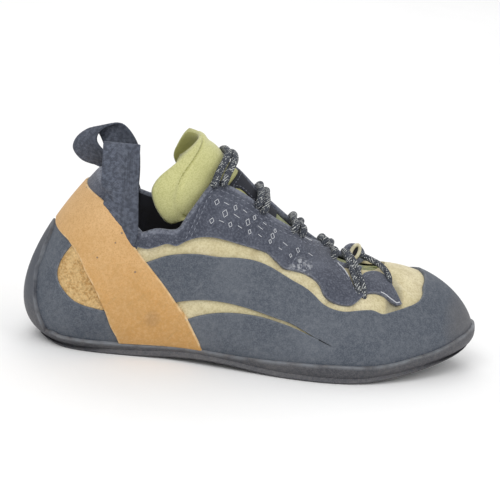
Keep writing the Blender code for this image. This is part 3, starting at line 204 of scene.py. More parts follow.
QUARTER_LOW_IN = (
    ("in", "side", (
        (0.222, 0.72), (0.3, 0.74), (0.4, 0.74), (0.5, 0.66), (0.6, 0.54), (0.7, 0.47),
        (0.77, 0.48), (0.79, 0.49),
    )),
)
TONGUE_RINGS = (8.9, 8.1, 7.35, 6.9, 6.4, 5.9, 5.4, 4.9, 4.4, 4.0)
TONGUE_STEPS = 7
TONGUE_EDGE = 0.8
TONGUE_EDGE_DROP = 0.02
TONGUE_FULLNESS = (0.62, 0.45, 0.3)
TONGUE_COLUMNS = ("out_x", "out_y", "out_z", "mid_x", "mid_y", "mid_z", "in_x", "in_y", "in_z")
TONGUE_FLARE = (
    (0.34, -0.18, 0.8, 0.435, 0.012, 1.045, 0.365, 0.14, 0.83),
    (0.303, -0.185, 0.735, 0.421, 0.011, 1.077, 0.341, 0.16, 0.865),
    (0.275, -0.225, 0.8, 0.406, 0.0, 1.117, 0.322, 0.2, 0.927),
    (0.258, -0.255, 0.88, 0.392, 0.0, 1.159, 0.31, 0.234, 0.994),
    (0.25, -0.262, 0.96, 0.378, 0.0, 1.19, 0.296, 0.223, 1.063),
    (0.258, -0.24, 1.035, 0.364, 0.0, 1.21, 0.298, 0.2, 1.14),
    (0.271, -0.213, 1.074, 0.352, 0.0, 1.222, 0.307, 0.16, 1.214),
)
TONGUE_PEAK = (0.032, 0.028)
GROOVE_DEPTH = 0.0014
GROOVE_WIDTH = 0.032
BAND_WIDTH = 0.01
KNIT = 6200.0
MESH = 2600.0
LOOP_COLUMNS = ("forward", "outward", "up", "turn")
LOOP_OUTER = (
    (-0.03, 0.02, 0.35, 0.0),
    (-0.05, 0.02, 0.7, 0.0),
    (-0.06, -0.02, 0.94, 0.0),
    (-0.06, -0.1, 0.98, 0.0),
    (-0.05, -0.2, 0.8, 0.0),
    (-0.02, -0.215, 0.4, 0.0),
)
LOOP_INNER = (
    (-0.14, -0.02, 0.2, 15.0),
    (-0.44, -0.06, 0.32, 40.0),
    (-0.62, -0.08, 0.52, 50.0),
    (-0.54, -0.12, 0.74, 50.0),
    (-0.28, -0.18, 0.86, 40.0),
    (-0.06, -0.22, 0.6, 20.0),
    (0.0, -0.2, 0.25, 5.0),
)
LOOP_SEAT = 0.183
LOOP_SEAT_HEIGHT = 0.8
LOOP_LEAN = (0.85, 0.5)
TAB_PLACE = (0.713, 0.165, 0.585)
TAB_ALONG = (0.93, 0.0, -0.37)
TAB_UP = (0.1, 0.3, 0.95)
TAB_WIDE = 0.65
TAB_TALL = 1.6
EYELET = (0.0022, 0.0043, 0.0011)
EYELET_RISE = 0.0012
# Section of the front tab: share of its reach, and share of its wall in front
TAB_SECTION = ((0.0, 0.55), (0.6, 0.6), (0.92, 0.5), (1.0, 0.0), (0.92, -0.5), (0.6, -0.6), (0.0, -0.55))
# Outer leg of a pull loop: share of the way up, and how deep the webbing sinks there
LOOP_LEG = ((0.0, 0.0021), (0.16, 0.0019), (0.3, 0.0011), (0.55, 0.0006), (0.8, 0.0003), (1.0, 0.0))
# Rows of a pull loop that its seams follow, and the ribs of its webbing
LOOP_SEAMS = (-16, -8)
RIB_DEPTH = 0.00006
RIBS = 9.0
# The patch on the tongue: its share of the width, its seam's inset in rows, and its stitches
LABEL_COLUMNS = (0.26, 0.66)
LABEL_INSET = 3
LABEL_STITCH = {"radius": 0.0002, "length": 0.0014, "gap": 0.0008}
# The strap's lowest part bends in under the sole's band
TUCK_START = 0.96
TUCK_SLOPE = 0.6
# Rows of the rubber beside the heel: above, along and below its cut-out
CUT_ABOVE = 17
CUT_ALONG = 60
CUT_BELOW = 22
CUT_ROWS = slice(CUT_ABOVE, CUT_ABOVE + CUT_ALONG)
# Ring places between which the rolled edge runs
BINDING_ENDS = (-6.95, 6.9)

# Soft folds of the leather: ring, rise, reach round and up the shoe, slant, depth in metres
FOLD_COLUMNS = ("ring", "rise", "around", "upward", "slant", "depth")
FOLDS = (
    (7.45, 0.56, 0.08, 0.12, 0.25, -0.0016),
    (7.75, 0.6, 0.1, 0.16, 0.35, -0.0012),
    (8.1, 0.66, 0.14, 0.12, -0.4, 0.001),
    (6.95, 0.86, 0.12, 0.07, 0.5, -0.0012),
    (6.1, 0.58, 0.1, 0.09, 0.6, -0.0014),
    (5.1, 0.6, 0.3, 0.03, 0.0, -0.001),
    (3.6, 0.56, 0.5, 0.02, 0.0, -0.0009),
    (12.4, 0.66, 0.12, 0.14, 0.4, -0.0015),
    (14.2, 0.62, 0.2, 0.06, 0.1, -0.0013),
)
# Rows of the eyestay's marks: shares along and across it, size in metres, and how many
MARK_COLUMNS = ("start", "end", "height", "size", "count")
MARKS = (
    (0.455, 0.7, 0.3, 0.0022, 9),
    (0.47, 0.74, 0.48, 0.003, 8),
    (0.44, 0.64, 0.66, 0.0024, 7),
)
# Loose strands from the front eyelet over the eyestay: places as ring, rise and lift in metres
FRONT_STRANDS = (
    ((6.42, 0.97, 0.0035), (6.46, 0.88, 0.0036), (6.53, 0.77, 0.003),
     (6.61, 0.67, 0.0022), (6.66, 0.62, -0.002)),
    ((6.56, 0.98, 0.003), (6.62, 0.87, 0.0034), (6.68, 0.76, 0.003),
     (6.75, 0.67, 0.0022), (6.79, 0.62, -0.002)),
    ((7.05, 0.98, 0.004), (7.6, 0.93, 0.0034), (7.85, 0.86, 0.003),
     (7.78, 0.77, 0.0024), (7.7, 0.7, -0.002)),
)
# Piping by the eyestay's edges: its ring places, the edge that it follows, and the inset from it
PIPING = (
    (7.22, 7.7, "low", -0.0012),
    (5.3, 5.62, "top", 0.001),
    (6.22, 6.45, "top", 0.001),
)
PIPING_RADIUS = 0.00028
DIAMOND = ((-0.55, 0.0), (0.0, 0.75), (0.55, 0.0), (0.0, -0.75), (-0.55, 0.0))
DASH = ((-0.7, 0.25), (0.7, 0.25))
MARK_RADIUS = 0.00016
# Seams of the microfibre: those along its upper edge, and those across it with their lean
SEAM_START = 3.3
SEAM_END = 6.45
SEAM_SHORT = 0.25
SEAM_INSETS = (0.0024, 0.0052)
CROSS_SEAMS = ((3.2, -0.16), (3.3, -0.16), (5.4, -0.18))
# Strands of the lace: ring place and inset from the throat's edge at both ends
STRAND_COLUMNS = ("near", "near_inset", "far", "far_inset")
STRANDS = (
    (3.33, -0.001, 16.74, 0.004),
    (3.51, -0.001, 16.56, 0.004),
    (4.4, 0.0008, 15.62, 0.004),
    (4.54, 0.0014, 15.46, 0.004),
    (5.2, 0.0014, 14.8, 0.004),
    (5.37, 0.0016, 14.63, 0.004),
    (5.92, 0.0016, 14.1, 0.004),
    (6.14, 0.0016, 13.88, 0.004),
)

LACE_GUIDE = (1.0, 0.0, 0.3)
FRONT_STRAND_RADIUS = 0.4

# The camera: where it aims, and its turn, height, roll and distance
CAMERA_AIM = (0.0791071, 0.0, 0.0587819)
CAMERA_TURN = -5.0
CAMERA_RISE = 15.0
CAMERA_ROLL = 6.3
CAMERA_AWAY = 1.25
CAMERA_LENS = 161.1
SENSOR = 36.0

# Studio lights: name, place, power and size
LIGHTS = (
    ("key", (-0.5, -1.2, 1.5), 15.0, 1.2),
    ("fill", (1.2, -0.9, 0.9), 5.0, 1.0),
    ("back", (0.2, 1.3, 1.3), 8.0, 1.2),
)
WORLD_STRENGTH = 0.72
FLOOR_SIZE = 6.0
FLOOR_DROP = 0.0001


def srgb(red, green, blue):
    """Scene-linear colour of a screen colour given in 0 to 255."""
    values = np.array((red, green, blue)) / 255.0
    linear = np.where(values <= 0.04045, values / 12.92, ((values + 0.055) / 1.055) ** 2.4)
    return tuple(float(value) for value in linear)


def length_property(name, default, description):
    """A length that a user can change."""
    return FloatProperty(
        name=name, description=description, default=default, min=0.0, precision=4, unit="LENGTH",
    )


def colour_property(name, red, green, blue, description):
    """A colour that a user can change, given by its screen values."""
    return FloatVectorProperty(
        name=name, description=description, default=srgb(red, green, blue),
        min=0.0, max=1.0, size=3, subtype="COLOR",
    )


class ShoeSizes(bpy.types.PropertyGroup):
    """Sizes of the last and of the walls on it."""

    length: length_property("Length", 0.258, "From the heel's back to the toe's tip")
    ball_width: length_property("Ball width", 0.094, "Width that the plan's shares count in")
    heel_height: length_property("Heel height", 0.0965, "Height of the collar at the back")
    instep_height: length_property("Instep height", 0.0985, "Height of the instep")
    collar_width: length_property("Collar width", 0.048, "Width of the open collar")
    toe_spring: length_property("Toe spring", 0.012, "Rise of the sole at the toe")
    arch_rise: length_property("Arch rise", 0.003, "Rise of the sole under the arch")
    leather: length_property("Leather", 0.0016, "Thickness of the leather")
    gap: length_property("Gap", 0.00035, "Gap that the solids keep between layers")
    sole: length_property("Sole", 0.0036, "Thickness of the sole underfoot")
    sole_side: length_property("Sole's side", 0.003, "Thickness of the sole's side band")
    sole_lip: length_property("Sole's lip", 0.0054, "How far the sole stands out at the floor")
    sole_edge: length_property("Sole's edge", 0.001, "Bevel of the sole's lower edge")
    rand: length_property("Rand", 0.0014, "Thickness of the rubber round the forefoot")
    heel_rand: length_property("Heel rand", 0.0012, "Thickness of the rubber beside the heel")
    patch: length_property("Patch", 0.0009, "Thickness of the rubber in the cut-out")
    sling: length_property("Sling", 0.0019, "Thickness of the heel strap")
    sling_lift: length_property("Sling lift", 0.0006, "How far the strap stands off")
    quarter: length_property("Quarter", 0.0012, "Thickness of the microfibre")
    quarter_lift: length_property("Quarter lift", 0.0004, "How far the microfibre stands off")
    quarter_inset: length_property("Quarter inset", 0.0006, "From the rim to the microfibre")
    sunk: length_property("Sunk", 0.0003, "How deep a panel's back sits in what carries it")
    tongue: length_property("Tongue", 0.004, "Thickness of the tongue's padding")
    tongue_drop: length_property("Tongue drop", 0.0013, "From the leather down to the tongue")
    label: length_property("Label", 0.0006, "Thickness of the patch on the tongue")
    webbing: length_property("Webbing", 0.0012, "Thickness of the loops' webbing")
    webbing_width: length_property("Webbing width", 0.02, "Width of the loops' webbing")
    loop_height: length_property("Loop height", 0.0355, "Height of the loops over the collar")
    loop_lift: length_property("Loop lift", 0.0013, "How far the loops' outer legs stand off")
    loop_inside: length_property("Loop inside", 0.0016, "How far their inner legs stand off")
    loop_tail: length_property("Loop tail", 0.008, "How far their inner legs reach down")
    lace: length_property("Lace", 0.0043, "Diameter of the lace")
    stitch: length_property("Stitch", 0.0022, "Length of one stitch")
    stitch_gap: length_property("Stitch gap", 0.0011, "From one stitch to the next")
    thread: length_property("Thread", 0.00055, "Diameter of the sewing thread")
    tab_length: length_property("Tab length", 0.021, "Length of the front tab")
    tab_height: length_property("Tab height", 0.0075, "Height of the front tab")
    tab_wall: length_property("Tab wall", 0.0016, "Thickness of the front tab")


class ShoeColours(bpy.types.PropertyGroup):
    """Colours of the shoe's materials and of the stage."""

    leather: colour_property("Leather", 202, 192, 154, "Pale yellow nubuck")
    leather_worn: colour_property("Worn leather", 224, 214, 182, "Nubuck rubbed pale")
    leather_dark: colour_property("Dark leather", 150, 132, 92, "Nubuck in folds and stains")
    lining: colour_property("Lining", 36, 35, 38, "Inside of the upper")
    rand: colour_property("Rand", 64, 71, 82, "Slate rubber")
    # Chalk dust on the rubber; on the sole's rims this colour is also a painted highlight.
    rand_dust_and_highlight: colour_property("Rand's dust", 120, 124, 130, "Chalk on the slate rubber")
    rand_worn: colour_property("Rand's wear", 98, 94, 92, "Brownish wear at the toe")
    sole: colour_property("Sole", 62, 63, 69, "Sole rubber")
    sole_worn: colour_property("Sole's wear", 116, 114, 114, "Dust on the sole's edge")
    sling: colour_property("Sling", 194, 146, 84, "Tan strap")
    sling_pale: colour_property("Sling, pale", 208, 170, 122, "Paler upper part of the strap")
    sling_cut: colour_property("Sling's cut edge", 226, 200, 158, "Cut edge of the strap")
    patch: colour_property("Patch", 178, 138, 82, "Amber rubber")
    patch_light: colour_property("Patch, light", 222, 190, 136, "Golden flecks in it")
    microfibre: colour_property("Microfibre", 58, 62, 74, "Dark brushed microfibre")
    microfibre_fleck: colour_property("Fleck", 118, 122, 134, "Light fibres in it")
    thread: colour_property("Thread", 122, 126, 138, "Sewing thread")
    mark: colour_property("Marks", 206, 208, 212, "Printed marks and piping")
    tongue: colour_property("Tongue", 200, 198, 142, "Lime knit")
    tongue_shade: colour_property("Tongue, shade", 164, 164, 100, "Lime knit in its pores")
    tongue_mesh: colour_property("Tongue's mesh", 150, 156, 92, "Mesh under the lace")
    tongue_lining: colour_property("Tongue's back", 158, 156, 84, "Back of the tongue")
    label: colour_property("Label", 30, 31, 36, "Bare patch on the tongue")
    webbing: colour_property("Webbing", 98, 104, 118, "Webbing of the loops")
    # Also the painted shade in the lace's grooves.
    webbing_dark: colour_property("Webbing, dark", 44, 48, 58, "Its grooves and folds")
    lace: colour_property("Lace", 70, 74, 82, "Braided cord")
    lace_fleck: colour_property("Lace's fleck", 206, 208, 204, "Pale flecks in the cord")
    eyelet: colour_property("Eyelet", 214, 208, 178, "Ring of the front eyelet")
    board: colour_property("Board", 112, 108, 94, "Inner sole board")
    floor: colour_property("Floor", 244, 244, 244, "Studio floor")


class Last:
    """The form that every panel lies on: profile curves in a ring round the shoe."""

    def __init__(self, sizes):
        self.sizes = sizes
        self.over = sizes.leather + sizes.gap
        self.under_foot = sizes.sole + self.over
        self.outside = self.over + sizes.quarter_lift + sizes.quarter
        self.handles = self.profile_handles()
        flat = self.handles.reshape(RING, 12)
        self.slopes = ring_slopes(flat).reshape(RING, 4, 3)
        self.grid_ring = np.linspace(0.0, RING, 20 * RING, endpoint=False)
        self.grid_rise = np.linspace(0.0, 0.99, 80)
        self.grid = self.layer(self.grid_ring[:, None], self.grid_rise[None, :], self.surface_offset())
        self.throat = self.ring_edge(THROAT_EDGE)
        self.band = self.ring_edge(SOLE_EDGE)
        self.rand_edge = self.open_edge(RAND_TOP)
        self.slot_top = self.path(SLOT_TOP)
        self.slot_low = self.path(SLOT_LOW)
        self.wrap = self.path(HEEL_WRAP)
        self.sling_rear = self.path(SLING_REAR)
        self.sling_front = self.path(SLING_FRONT)

    def surface_offset(self):
        """Distance outside the last at which the edge tables were measured."""
        return self.over + self.sizes.rand

    def along(self, share):
        """X of a share of the length, counted from the heel's back."""
        return (share - HEEL_REST) * self.sizes.length

    def height(self, x):
        """The height that shares count in: the heel's at the back, the instep's in front."""
        share = x / self.sizes.length + HEEL_REST
        blend = np.clip((share - INSTEP_START) / INSTEP_SPAN, 0.0, 1.0)
        blend = blend * blend * (3.0 - 2.0 * blend)
        return self.sizes.heel_height + (self.sizes.instep_height - self.sizes.heel_height) * blend

    def ground(self, x):
        """Height of the tread above the floor: two flat spots, an arch, a toe spring."""
        share = np.asarray(x) / self.sizes.length + HEEL_REST
        toe = np.clip((share - SPRING_START) / (SPRING_END - SPRING_START), 0.0, 1.2)
        heel = np.clip((HEEL_FLAT - share) / HEEL_BEVEL_LENGTH, 0.0, 1.0)
        arch = np.clip((share - ARCH_START) / (ARCH_END - ARCH_START), 0.0, 1.0)
        rise = self.sizes.toe_spring * toe ** SPRING_BEND + HEEL_BEVEL * heel ** 2
        return rise + self.sizes.arch_rise * np.sin(np.pi * arch) ** 2

    def profile_handles(self):
        """The four handles of each profile curve round the ring."""
        rows = named_rows(STATION_COLUMNS, STATIONS)
        order = [(index, "out") for index in range(LAST_ROW + 1)]
        order += [(index, "in") for index in range(LAST_ROW - 1, 0, -1)]
        width = self.sizes.ball_width
        feet = np.array([
            (self.along(rows[index][side + "_along"]), rows[index][side + "_across"] * width)
            for index, side in order
        ])
        tangents = np.roll(feet, -1, axis=0) - np.roll(feet, 1, axis=0)
        tangents /= np.linalg.norm(tangents, axis=1)[:, None]
        normals = np.stack((tangents[:, 1], -tangents[:, 0]), axis=1)
        handles = []
        for (index, side), foot, normal in zip(order, feet, normals):
            row = rows[index]
            height = float(self.height(foot[0]))
            bulge = foot + normal * row[side + "_flare"] * width
            top = np.array((self.along(row["top_along"]), row["top_across"] * width))
            opening = math.sin(0.5 * math.pi * index / OPEN_ROWS) if index <= OPEN_ROWS else 0.0
            sign = -1.0 if side == "out" else 1.0
            aim = top + np.array((0.0, sign * 0.5 * self.sizes.collar_width * opening))
            high = bulge + (aim - bulge) * row["lean"]
            handles.append((
                (*foot, 0.0),
                (*bulge, row["low"] * height),
                (*high, row["high"] * height),
                (*top, row["top"] * height),
            ))
        return np.array(handles)

    def spread(self, ring):
        """Half width of the open collar at a place on the ring, signed by side."""
        ring = np.mod(ring, RING)
        row = np.minimum(ring, RING - ring)
        sign = np.where(ring < LAST_ROW, -1.0, 1.0)
        rising = np.sin(0.5 * np.pi * np.minimum(row, OPEN_ROWS) / OPEN_ROWS)
        closing = np.clip(row - OPEN_ROWS, 0.0, 1.0)
        closing = 1.0 - closing * closing * (3.0 - 2.0 * closing)
        return 0.5 * self.sizes.collar_width * sign * rising * closing

    def point(self, ring, rise):
        """Point of the last."""
        ring = np.mod(np.asarray(ring, dtype=float), RING)
        rise = np.asarray(rise, dtype=float)
        start = np.floor(ring).astype(int) % RING
        step = (ring - np.floor(ring))[..., None, None]
        end = (start + 1) % RING
        square = step * step
        cube = square * step
        handles = (
            self.handles[start] * (2.0 * cube - 3.0 * square + 1.0)
            + self.slopes[start] * (cube - 2.0 * square + step)
            + self.handles[end] * (3.0 * square - 2.0 * cube)
            + self.slopes[end] * (cube - square)
        )
        foot = handles[..., 0, :].copy()
        foot[..., 2] = self.ground(foot[..., 0]) + self.under_foot
        top = handles[..., 3, :].copy()
        top[..., 1] += self.spread(ring)
        rise = rise[..., None]
        left = 1.0 - rise
        return (
            foot * left ** 3
            + 3.0 * handles[..., 1, :] * rise * left ** 2
            + 3.0 * handles[..., 2, :] * rise ** 2 * left
            + top * rise ** 3
        )

    def normal(self, ring, rise):
        """Outward direction of the last's surface."""
        rise = np.clip(np.asarray(rise, dtype=float), 0.0, 0.985)
        ring, rise = np.broadcast_arrays(np.asarray(ring, dtype=float), rise)
        around = self.point(ring + 0.01, rise) - self.point(ring - 0.01, rise)
        upward = self.point(ring, rise + 0.005) - self.point(ring, rise - 0.005)
        normal = np.cross(around, upward)
        return normal / np.linalg.norm(normal, axis=-1)[..., None]

    def layer(self, ring, rise, offset):
        """Point at a distance outside the last."""
        offset = np.asarray(offset, dtype=float)
        return self.point(ring, rise) + self.normal(ring, rise) * offset[..., None]

    def foot_normal(self, ring):
        """Outward direction in plan of the last's bottom edge."""
        around = self.point(np.asarray(ring) + 0.01, 0.0) - self.point(np.asarray(ring) - 0.01, 0.0)
        normal = np.stack((around[..., 1], -around[..., 0], np.zeros_like(around[..., 0])), axis=-1)
        return normal / np.linalg.norm(normal, axis=-1)[..., None]

    def ring_step(self, ring, rise, distance):
        """Change of ring place that moves a point by a distance round the shoe."""
        size = np.linalg.norm(self.point(ring + 0.02, rise) - self.point(ring - 0.02, rise), axis=-1)
        return 0.04 * distance / size

    def rise_step(self, ring, rise, distance):
        """Change of rise that moves a point by a distance up the shoe."""
        size = np.linalg.norm(self.point(ring, rise + 0.01) - self.point(ring, rise - 0.01), axis=-1)
        return 0.02 * distance / size

    def find(self, side, view, share, level):
        """Ring and rise of a place that an edge table gives in side or top view."""
        x = self.along(share)
        axis = 2 if view == "side" else 1
        target = level * (float(self.height(x)) if view == "side" else self.sizes.ball_width)
        centre = side in ("heel", "toe")
        if centre:
            rings = np.array((0.0 if side == "heel" else float(LAST_ROW),))
            points = self.grid[:1] if side == "heel" else self.grid[len(self.grid) // 2:][:1]
        else:
            half = len(self.grid) // 2
            part = slice(1, half) if side == "out" else slice(half + 1, None)
            rings = self.grid_ring[part]
            points = self.grid[part]

        def miss(places):
            if centre:
                seen = places[..., 2] - target if view == "side" else places[..., 0] - x
                return seen ** 2
            return (places[..., 0] - x) ** 2 + (places[..., axis] - target) ** 2

        # Seen from above, only the upper part of the form counts
        low = 1.0 * (self.grid_rise[None, :] < 0.45) if view == "top" else 0.0
        best = np.unravel_index(np.argmin(miss(points) + low), points.shape[:2])
        ring = rings[best[0]]
        rise = self.grid_rise[best[1]]
        step_ring = 0.05
        step_rise = self.grid_rise[1]
        for _ in range(6):
            near = ring + (np.zeros(1) if centre else np.linspace(-1.0, 1.0, 5) * step_ring)
            rises = np.clip(rise + np.linspace(-1.0, 1.0, 5) * step_rise, 0.0, 0.99)
            places = self.layer(near[:, None], rises[None, :], self.surface_offset())
            best = np.unravel_index(np.argmin(miss(places)), places.shape[:2])
            ring = near[best[0]]
            rise = rises[best[1]]
            step_ring *= 0.5
            step_rise *= 0.5
        return ring, rise

    def path(self, table):
        """A panel's edge as ring and rise values along a smooth curve."""
        return smooth_path([self.find(*row) for row in edge_rows(table)])

    def ring_edge(self, table):
        """A function from ring place to rise along an edge that goes round the shoe."""
        places = [self.find(*row) for row in edge_rows(table)]
        places.append((places[0][0] + RING, places[0][1]))
        return rise_along(smooth_path(places))

    def open_edge(self, table):
        """A function from ring place to rise along an edge with two ends."""
        return rise_along(self.path(table))

    def lengths(self, path):
        """How far along each point of a path lies on the shoe, in metres."""
        points = self.layer(path[:, 0], path[:, 1], self.over)
        steps = np.linalg.norm(np.diff(points, axis=0), axis=1)
        return np.concatenate(((0.0,), np.cumsum(steps)))

    def at_shares(self, path, shares):
        """The path's places at shares of its length."""
        reach = self.lengths(path)
        wanted = np.asarray(shares) * reach[-1]
        rings = np.interp(wanted, reach, path[:, 0])
        return np.stack((rings, np.interp(wanted, reach, path[:, 1])), axis=1)

    def above_sling(self, ring):
        """Rise just above the strap's front edge."""
        path = self.sling_front
        rise = rise_along(path)(ring)
        clear = rise + self.rise_step(ring, rise, 0.0004)
        return np.where(np.asarray(ring) > path[-1, 0], 0.0, clear)

    def under_sling(self, ring):
        """Rise a little inside the strap's front edge, where a panel's end is hidden."""
        return self.above_sling(ring) - self.rise_step(ring, TOP_RISE, 0.003)


def named_rows(columns, table):
    """The rows of a table, each with the names of its columns."""
    return [dict(zip(columns, row)) for row in table]


def on_side(side, rings):
    """Ring places of the outer side, mirrored where the inner side is asked for."""
    return rings if side == OUTER else RING - rings


def edge_rows(table):
    """The places of an edge table, one a row, each with its side and view."""
    return [(side, view, *place) for side, view, places in table for place in places]


def ring_slopes(values):
    """Slopes of a smooth closed curve through the rows of values."""
    count = len(values)
    matrix = 4.0 * np.eye(count) + np.roll(np.eye(count), 1, axis=0) + np.roll(np.eye(count), -1, axis=0)
    change = np.roll(values, -1, axis=0) - np.roll(values, 1, axis=0)
    return np.linalg.solve(matrix, 3.0 * change)


def smooth_path(points, steps=8):
    """Points along a smooth open curve through the given ones."""
    points = np.asarray(points, dtype=float)
    padded = np.concatenate((2 * points[:1] - points[1:2], points, 2 * points[-1:] - points[-2:-1]))
    path = []
    for index in range(1, len(padded) - 2):
        before, start, end, after = padded[index - 1:index + 3]
        for step in range(steps):
            t = step / steps
            path.append(0.5 * (
                2 * start + (end - before) * t
                + (2 * before - 5 * start + 4 * end - after) * t * t
                + (3 * start - before - 3 * end + after) * t ** 3
            ))
    path.append(points[-1])
    return np.array(path)


def rise_along(path, left=None):
    """A function from ring place to rise along a path."""
    rings = np.maximum.accumulate(path[:, 0] + np.arange(len(path)) * 1e-9)
    return lambda ring: np.interp(ring, rings, path[:, 1], left=left)


def between(low, high, rows):
    """Rings and rises of a grid between two edges with as many places each."""
    shares = np.linspace(0.0, 1.0, rows)[None, :, None]
    grid = low[:, None, :] * (1.0 - shares) + high[:, None, :] * shares
    return grid[..., 0], grid[..., 1]


def grid_normals(points):
    """Directions across a grid of points, from its rows and columns."""
    normal = np.cross(np.gradient(points, axis=1), np.gradient(points, axis=0))
    size = np.linalg.norm(normal, axis=-1)
    return normal / np.maximum(size, 1e-12)[..., None]


def grid_form(points, form=None):
    """A grid whose places are moved to the given points, with lengths in metres as its UV map."""
    rows, columns = points.shape[:2]
    form = form or bmesh.new()
    uv = form.loops.layers.uv.verify()
    made = bmesh.ops.create_grid(form, x_segments=columns - 1, y_segments=rows - 1, size=1.0)
    verts = made["verts"]
    if len(verts) != rows * columns:
        raise RuntimeError("the grid has %d places, and not %d" % (len(verts), rows * columns))
    across = np.linalg.norm(np.diff(points, axis=1), axis=2)
    up = np.linalg.norm(np.diff(points, axis=0), axis=2)
    across = np.concatenate((np.zeros((rows, 1)), np.cumsum(across, axis=1)), axis=1)
    up = np.concatenate((np.zeros((1, columns)), np.cumsum(up, axis=0)), axis=0)
    where = {}
    for vert in verts:
        column = int(round((vert.co.x + 1.0) * 0.5 * (columns - 1)))
        row = int(round((vert.co.y + 1.0) * 0.5 * (rows - 1)))
        where[vert] = (row, column)
    for vert, place in where.items():
        vert.co = points[place]
    for face in {face for vert in verts for face in vert.link_faces}:
        for loop in face.loops:
            place = where[loop.vert]
            loop[uv].uv = (across[place], up[place])
    return form


def face_outward(form):
    """Turns all faces of an open sheet outward, judged from a line inside the shoe."""
    total = 0.0
    for face in form.faces:
        middle = face.calc_center_median()
        total += face.normal.dot(middle - shoe_axis(middle)) * face.calc_area()
    if total < 0.0:
        bmesh.ops.reverse_faces(form, faces=form.faces)


def shoe_axis(place):
    """The nearest point of a line inside the shoe."""
    return Vector((min(max(place.x, 0.0), 0.17), 0.004, 0.035))


def add_piece(form, name, finishes, nodes, wall=0.0, rounding=0.0, segments=2, closed=False):
    """Makes a piece of a form, gives it its wall and rounded edges, and hides what it stands for."""
    bmesh.ops.remove_doubles(form, verts=form.verts, dist=MERGE)
    bmesh.ops.recalc_face_normals(form, faces=form.faces)
    if not closed:
        face_outward(form)
    rim = [vert for vert in form.verts if vert.is_boundary]
    mesh = bpy.data.meshes.new(name)
    if rim:
        tree = KDTree(len(rim))
        for index, vert in enumerate(rim):
            tree.insert(vert.co, index)
        tree.balance()
        distances = [tree.find(vert.co)[2] for vert in form.verts]
    form.to_mesh(mesh)
    form.free()
    if rim:
        edge = mesh.attributes.new("edge", "FLOAT", "POINT")
        edge.data.foreach_set("value", distances)
    mesh.shade_smooth()
    piece = bpy.data.objects.new(name, mesh)
    bpy.context.scene.collection.objects.link(piece)
    for finish in finishes:
        mesh.materials.append(finish)
    if wall:
        solidify = piece.modifiers.new("Wall", "SOLIDIFY")
        solidify.thickness = wall
        solidify.offset = -1.0
        solidify.material_offset = 1 if len(finishes) > 1 else 0
    if rounding:
        bevel = piece.modifiers.new("Rounded edges", "BEVEL")
        bevel.width = rounding
        bevel.segments = segments
        bevel.limit_method = "ANGLE"
        bevel.angle_limit = math.radians(50.0)
        bevel.use_clamp_overlap = True
    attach(piece, BODY)
    if nodes:
        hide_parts(*nodes)
    return piece


def tube_form(points, radius, sides=10, form=None, up=None, ends=True):
    """A round cord along points, closed at both ends."""
    points = np.asarray(points, dtype=float)
    tangents = np.gradient(points, axis=0)
    tangents /= np.linalg.norm(tangents, axis=1)[:, None]
    guide = np.array((0.0, 0.0, 1.0)) if up is None else np.asarray(up, dtype=float)
    side = np.cross(tangents, guide)
    side /= np.linalg.norm(side, axis=1)[:, None]
    lift = np.cross(side, tangents)
    radii = np.broadcast_to(np.asarray(radius, dtype=float), (len(points),))
    turns = np.linspace(0.0, 2.0 * math.pi, sides + 1)
    ring = side[:, None] * np.cos(turns)[None, :, None] + lift[:, None] * np.sin(turns)[None, :, None]
    skin = points[:, None] + ring * radii[:, None, None]
    if ends:
        first = np.repeat(points[:1, None], sides + 1, axis=1)
        last = np.repeat(points[-1:, None], sides + 1, axis=1)
        skin = np.concatenate((first, skin, last))
    return grid_form(skin, form)


def add_stitches(form, points, normals, sizes, radius=None, length=None, gap=None):
    """Stitches along a line of points, each a small long bead half sunk in the surface."""
    radius = radius or 0.5 * sizes.thread
    length = length or sizes.stitch
    pitch = length + (gap or sizes.stitch_gap)
    reach = np.concatenate(((0.0,), np.cumsum(np.linalg.norm(np.diff(points, axis=0), axis=1))))
    count = int(reach[-1] / pitch)
    for index in range(count):
        middle = (index + 0.5) * pitch
        ends = [
            Vector([float(np.interp(place, reach, points[:, axis])) for axis in range(3)])
            for place in (middle - 0.5 * length, middle + 0.5 * length)
        ]
        normal = Vector([float(np.interp(middle, reach, normals[:, axis])) for axis in range(3)])
        along = (ends[1] - ends[0]).normalized()
        side = normal.cross(along).normalized()
        lift = along.cross(side)
        place = Matrix((along * 0.5 * length, side * radius, lift * radius)).transposed().to_4x4()
        place.translation = 0.5 * (ends[0] + ends[1]) + lift * radius * 0.35
        bmesh.ops.create_uvsphere(form, u_segments=7, v_segments=6, radius=1.0, matrix=place)
    return form


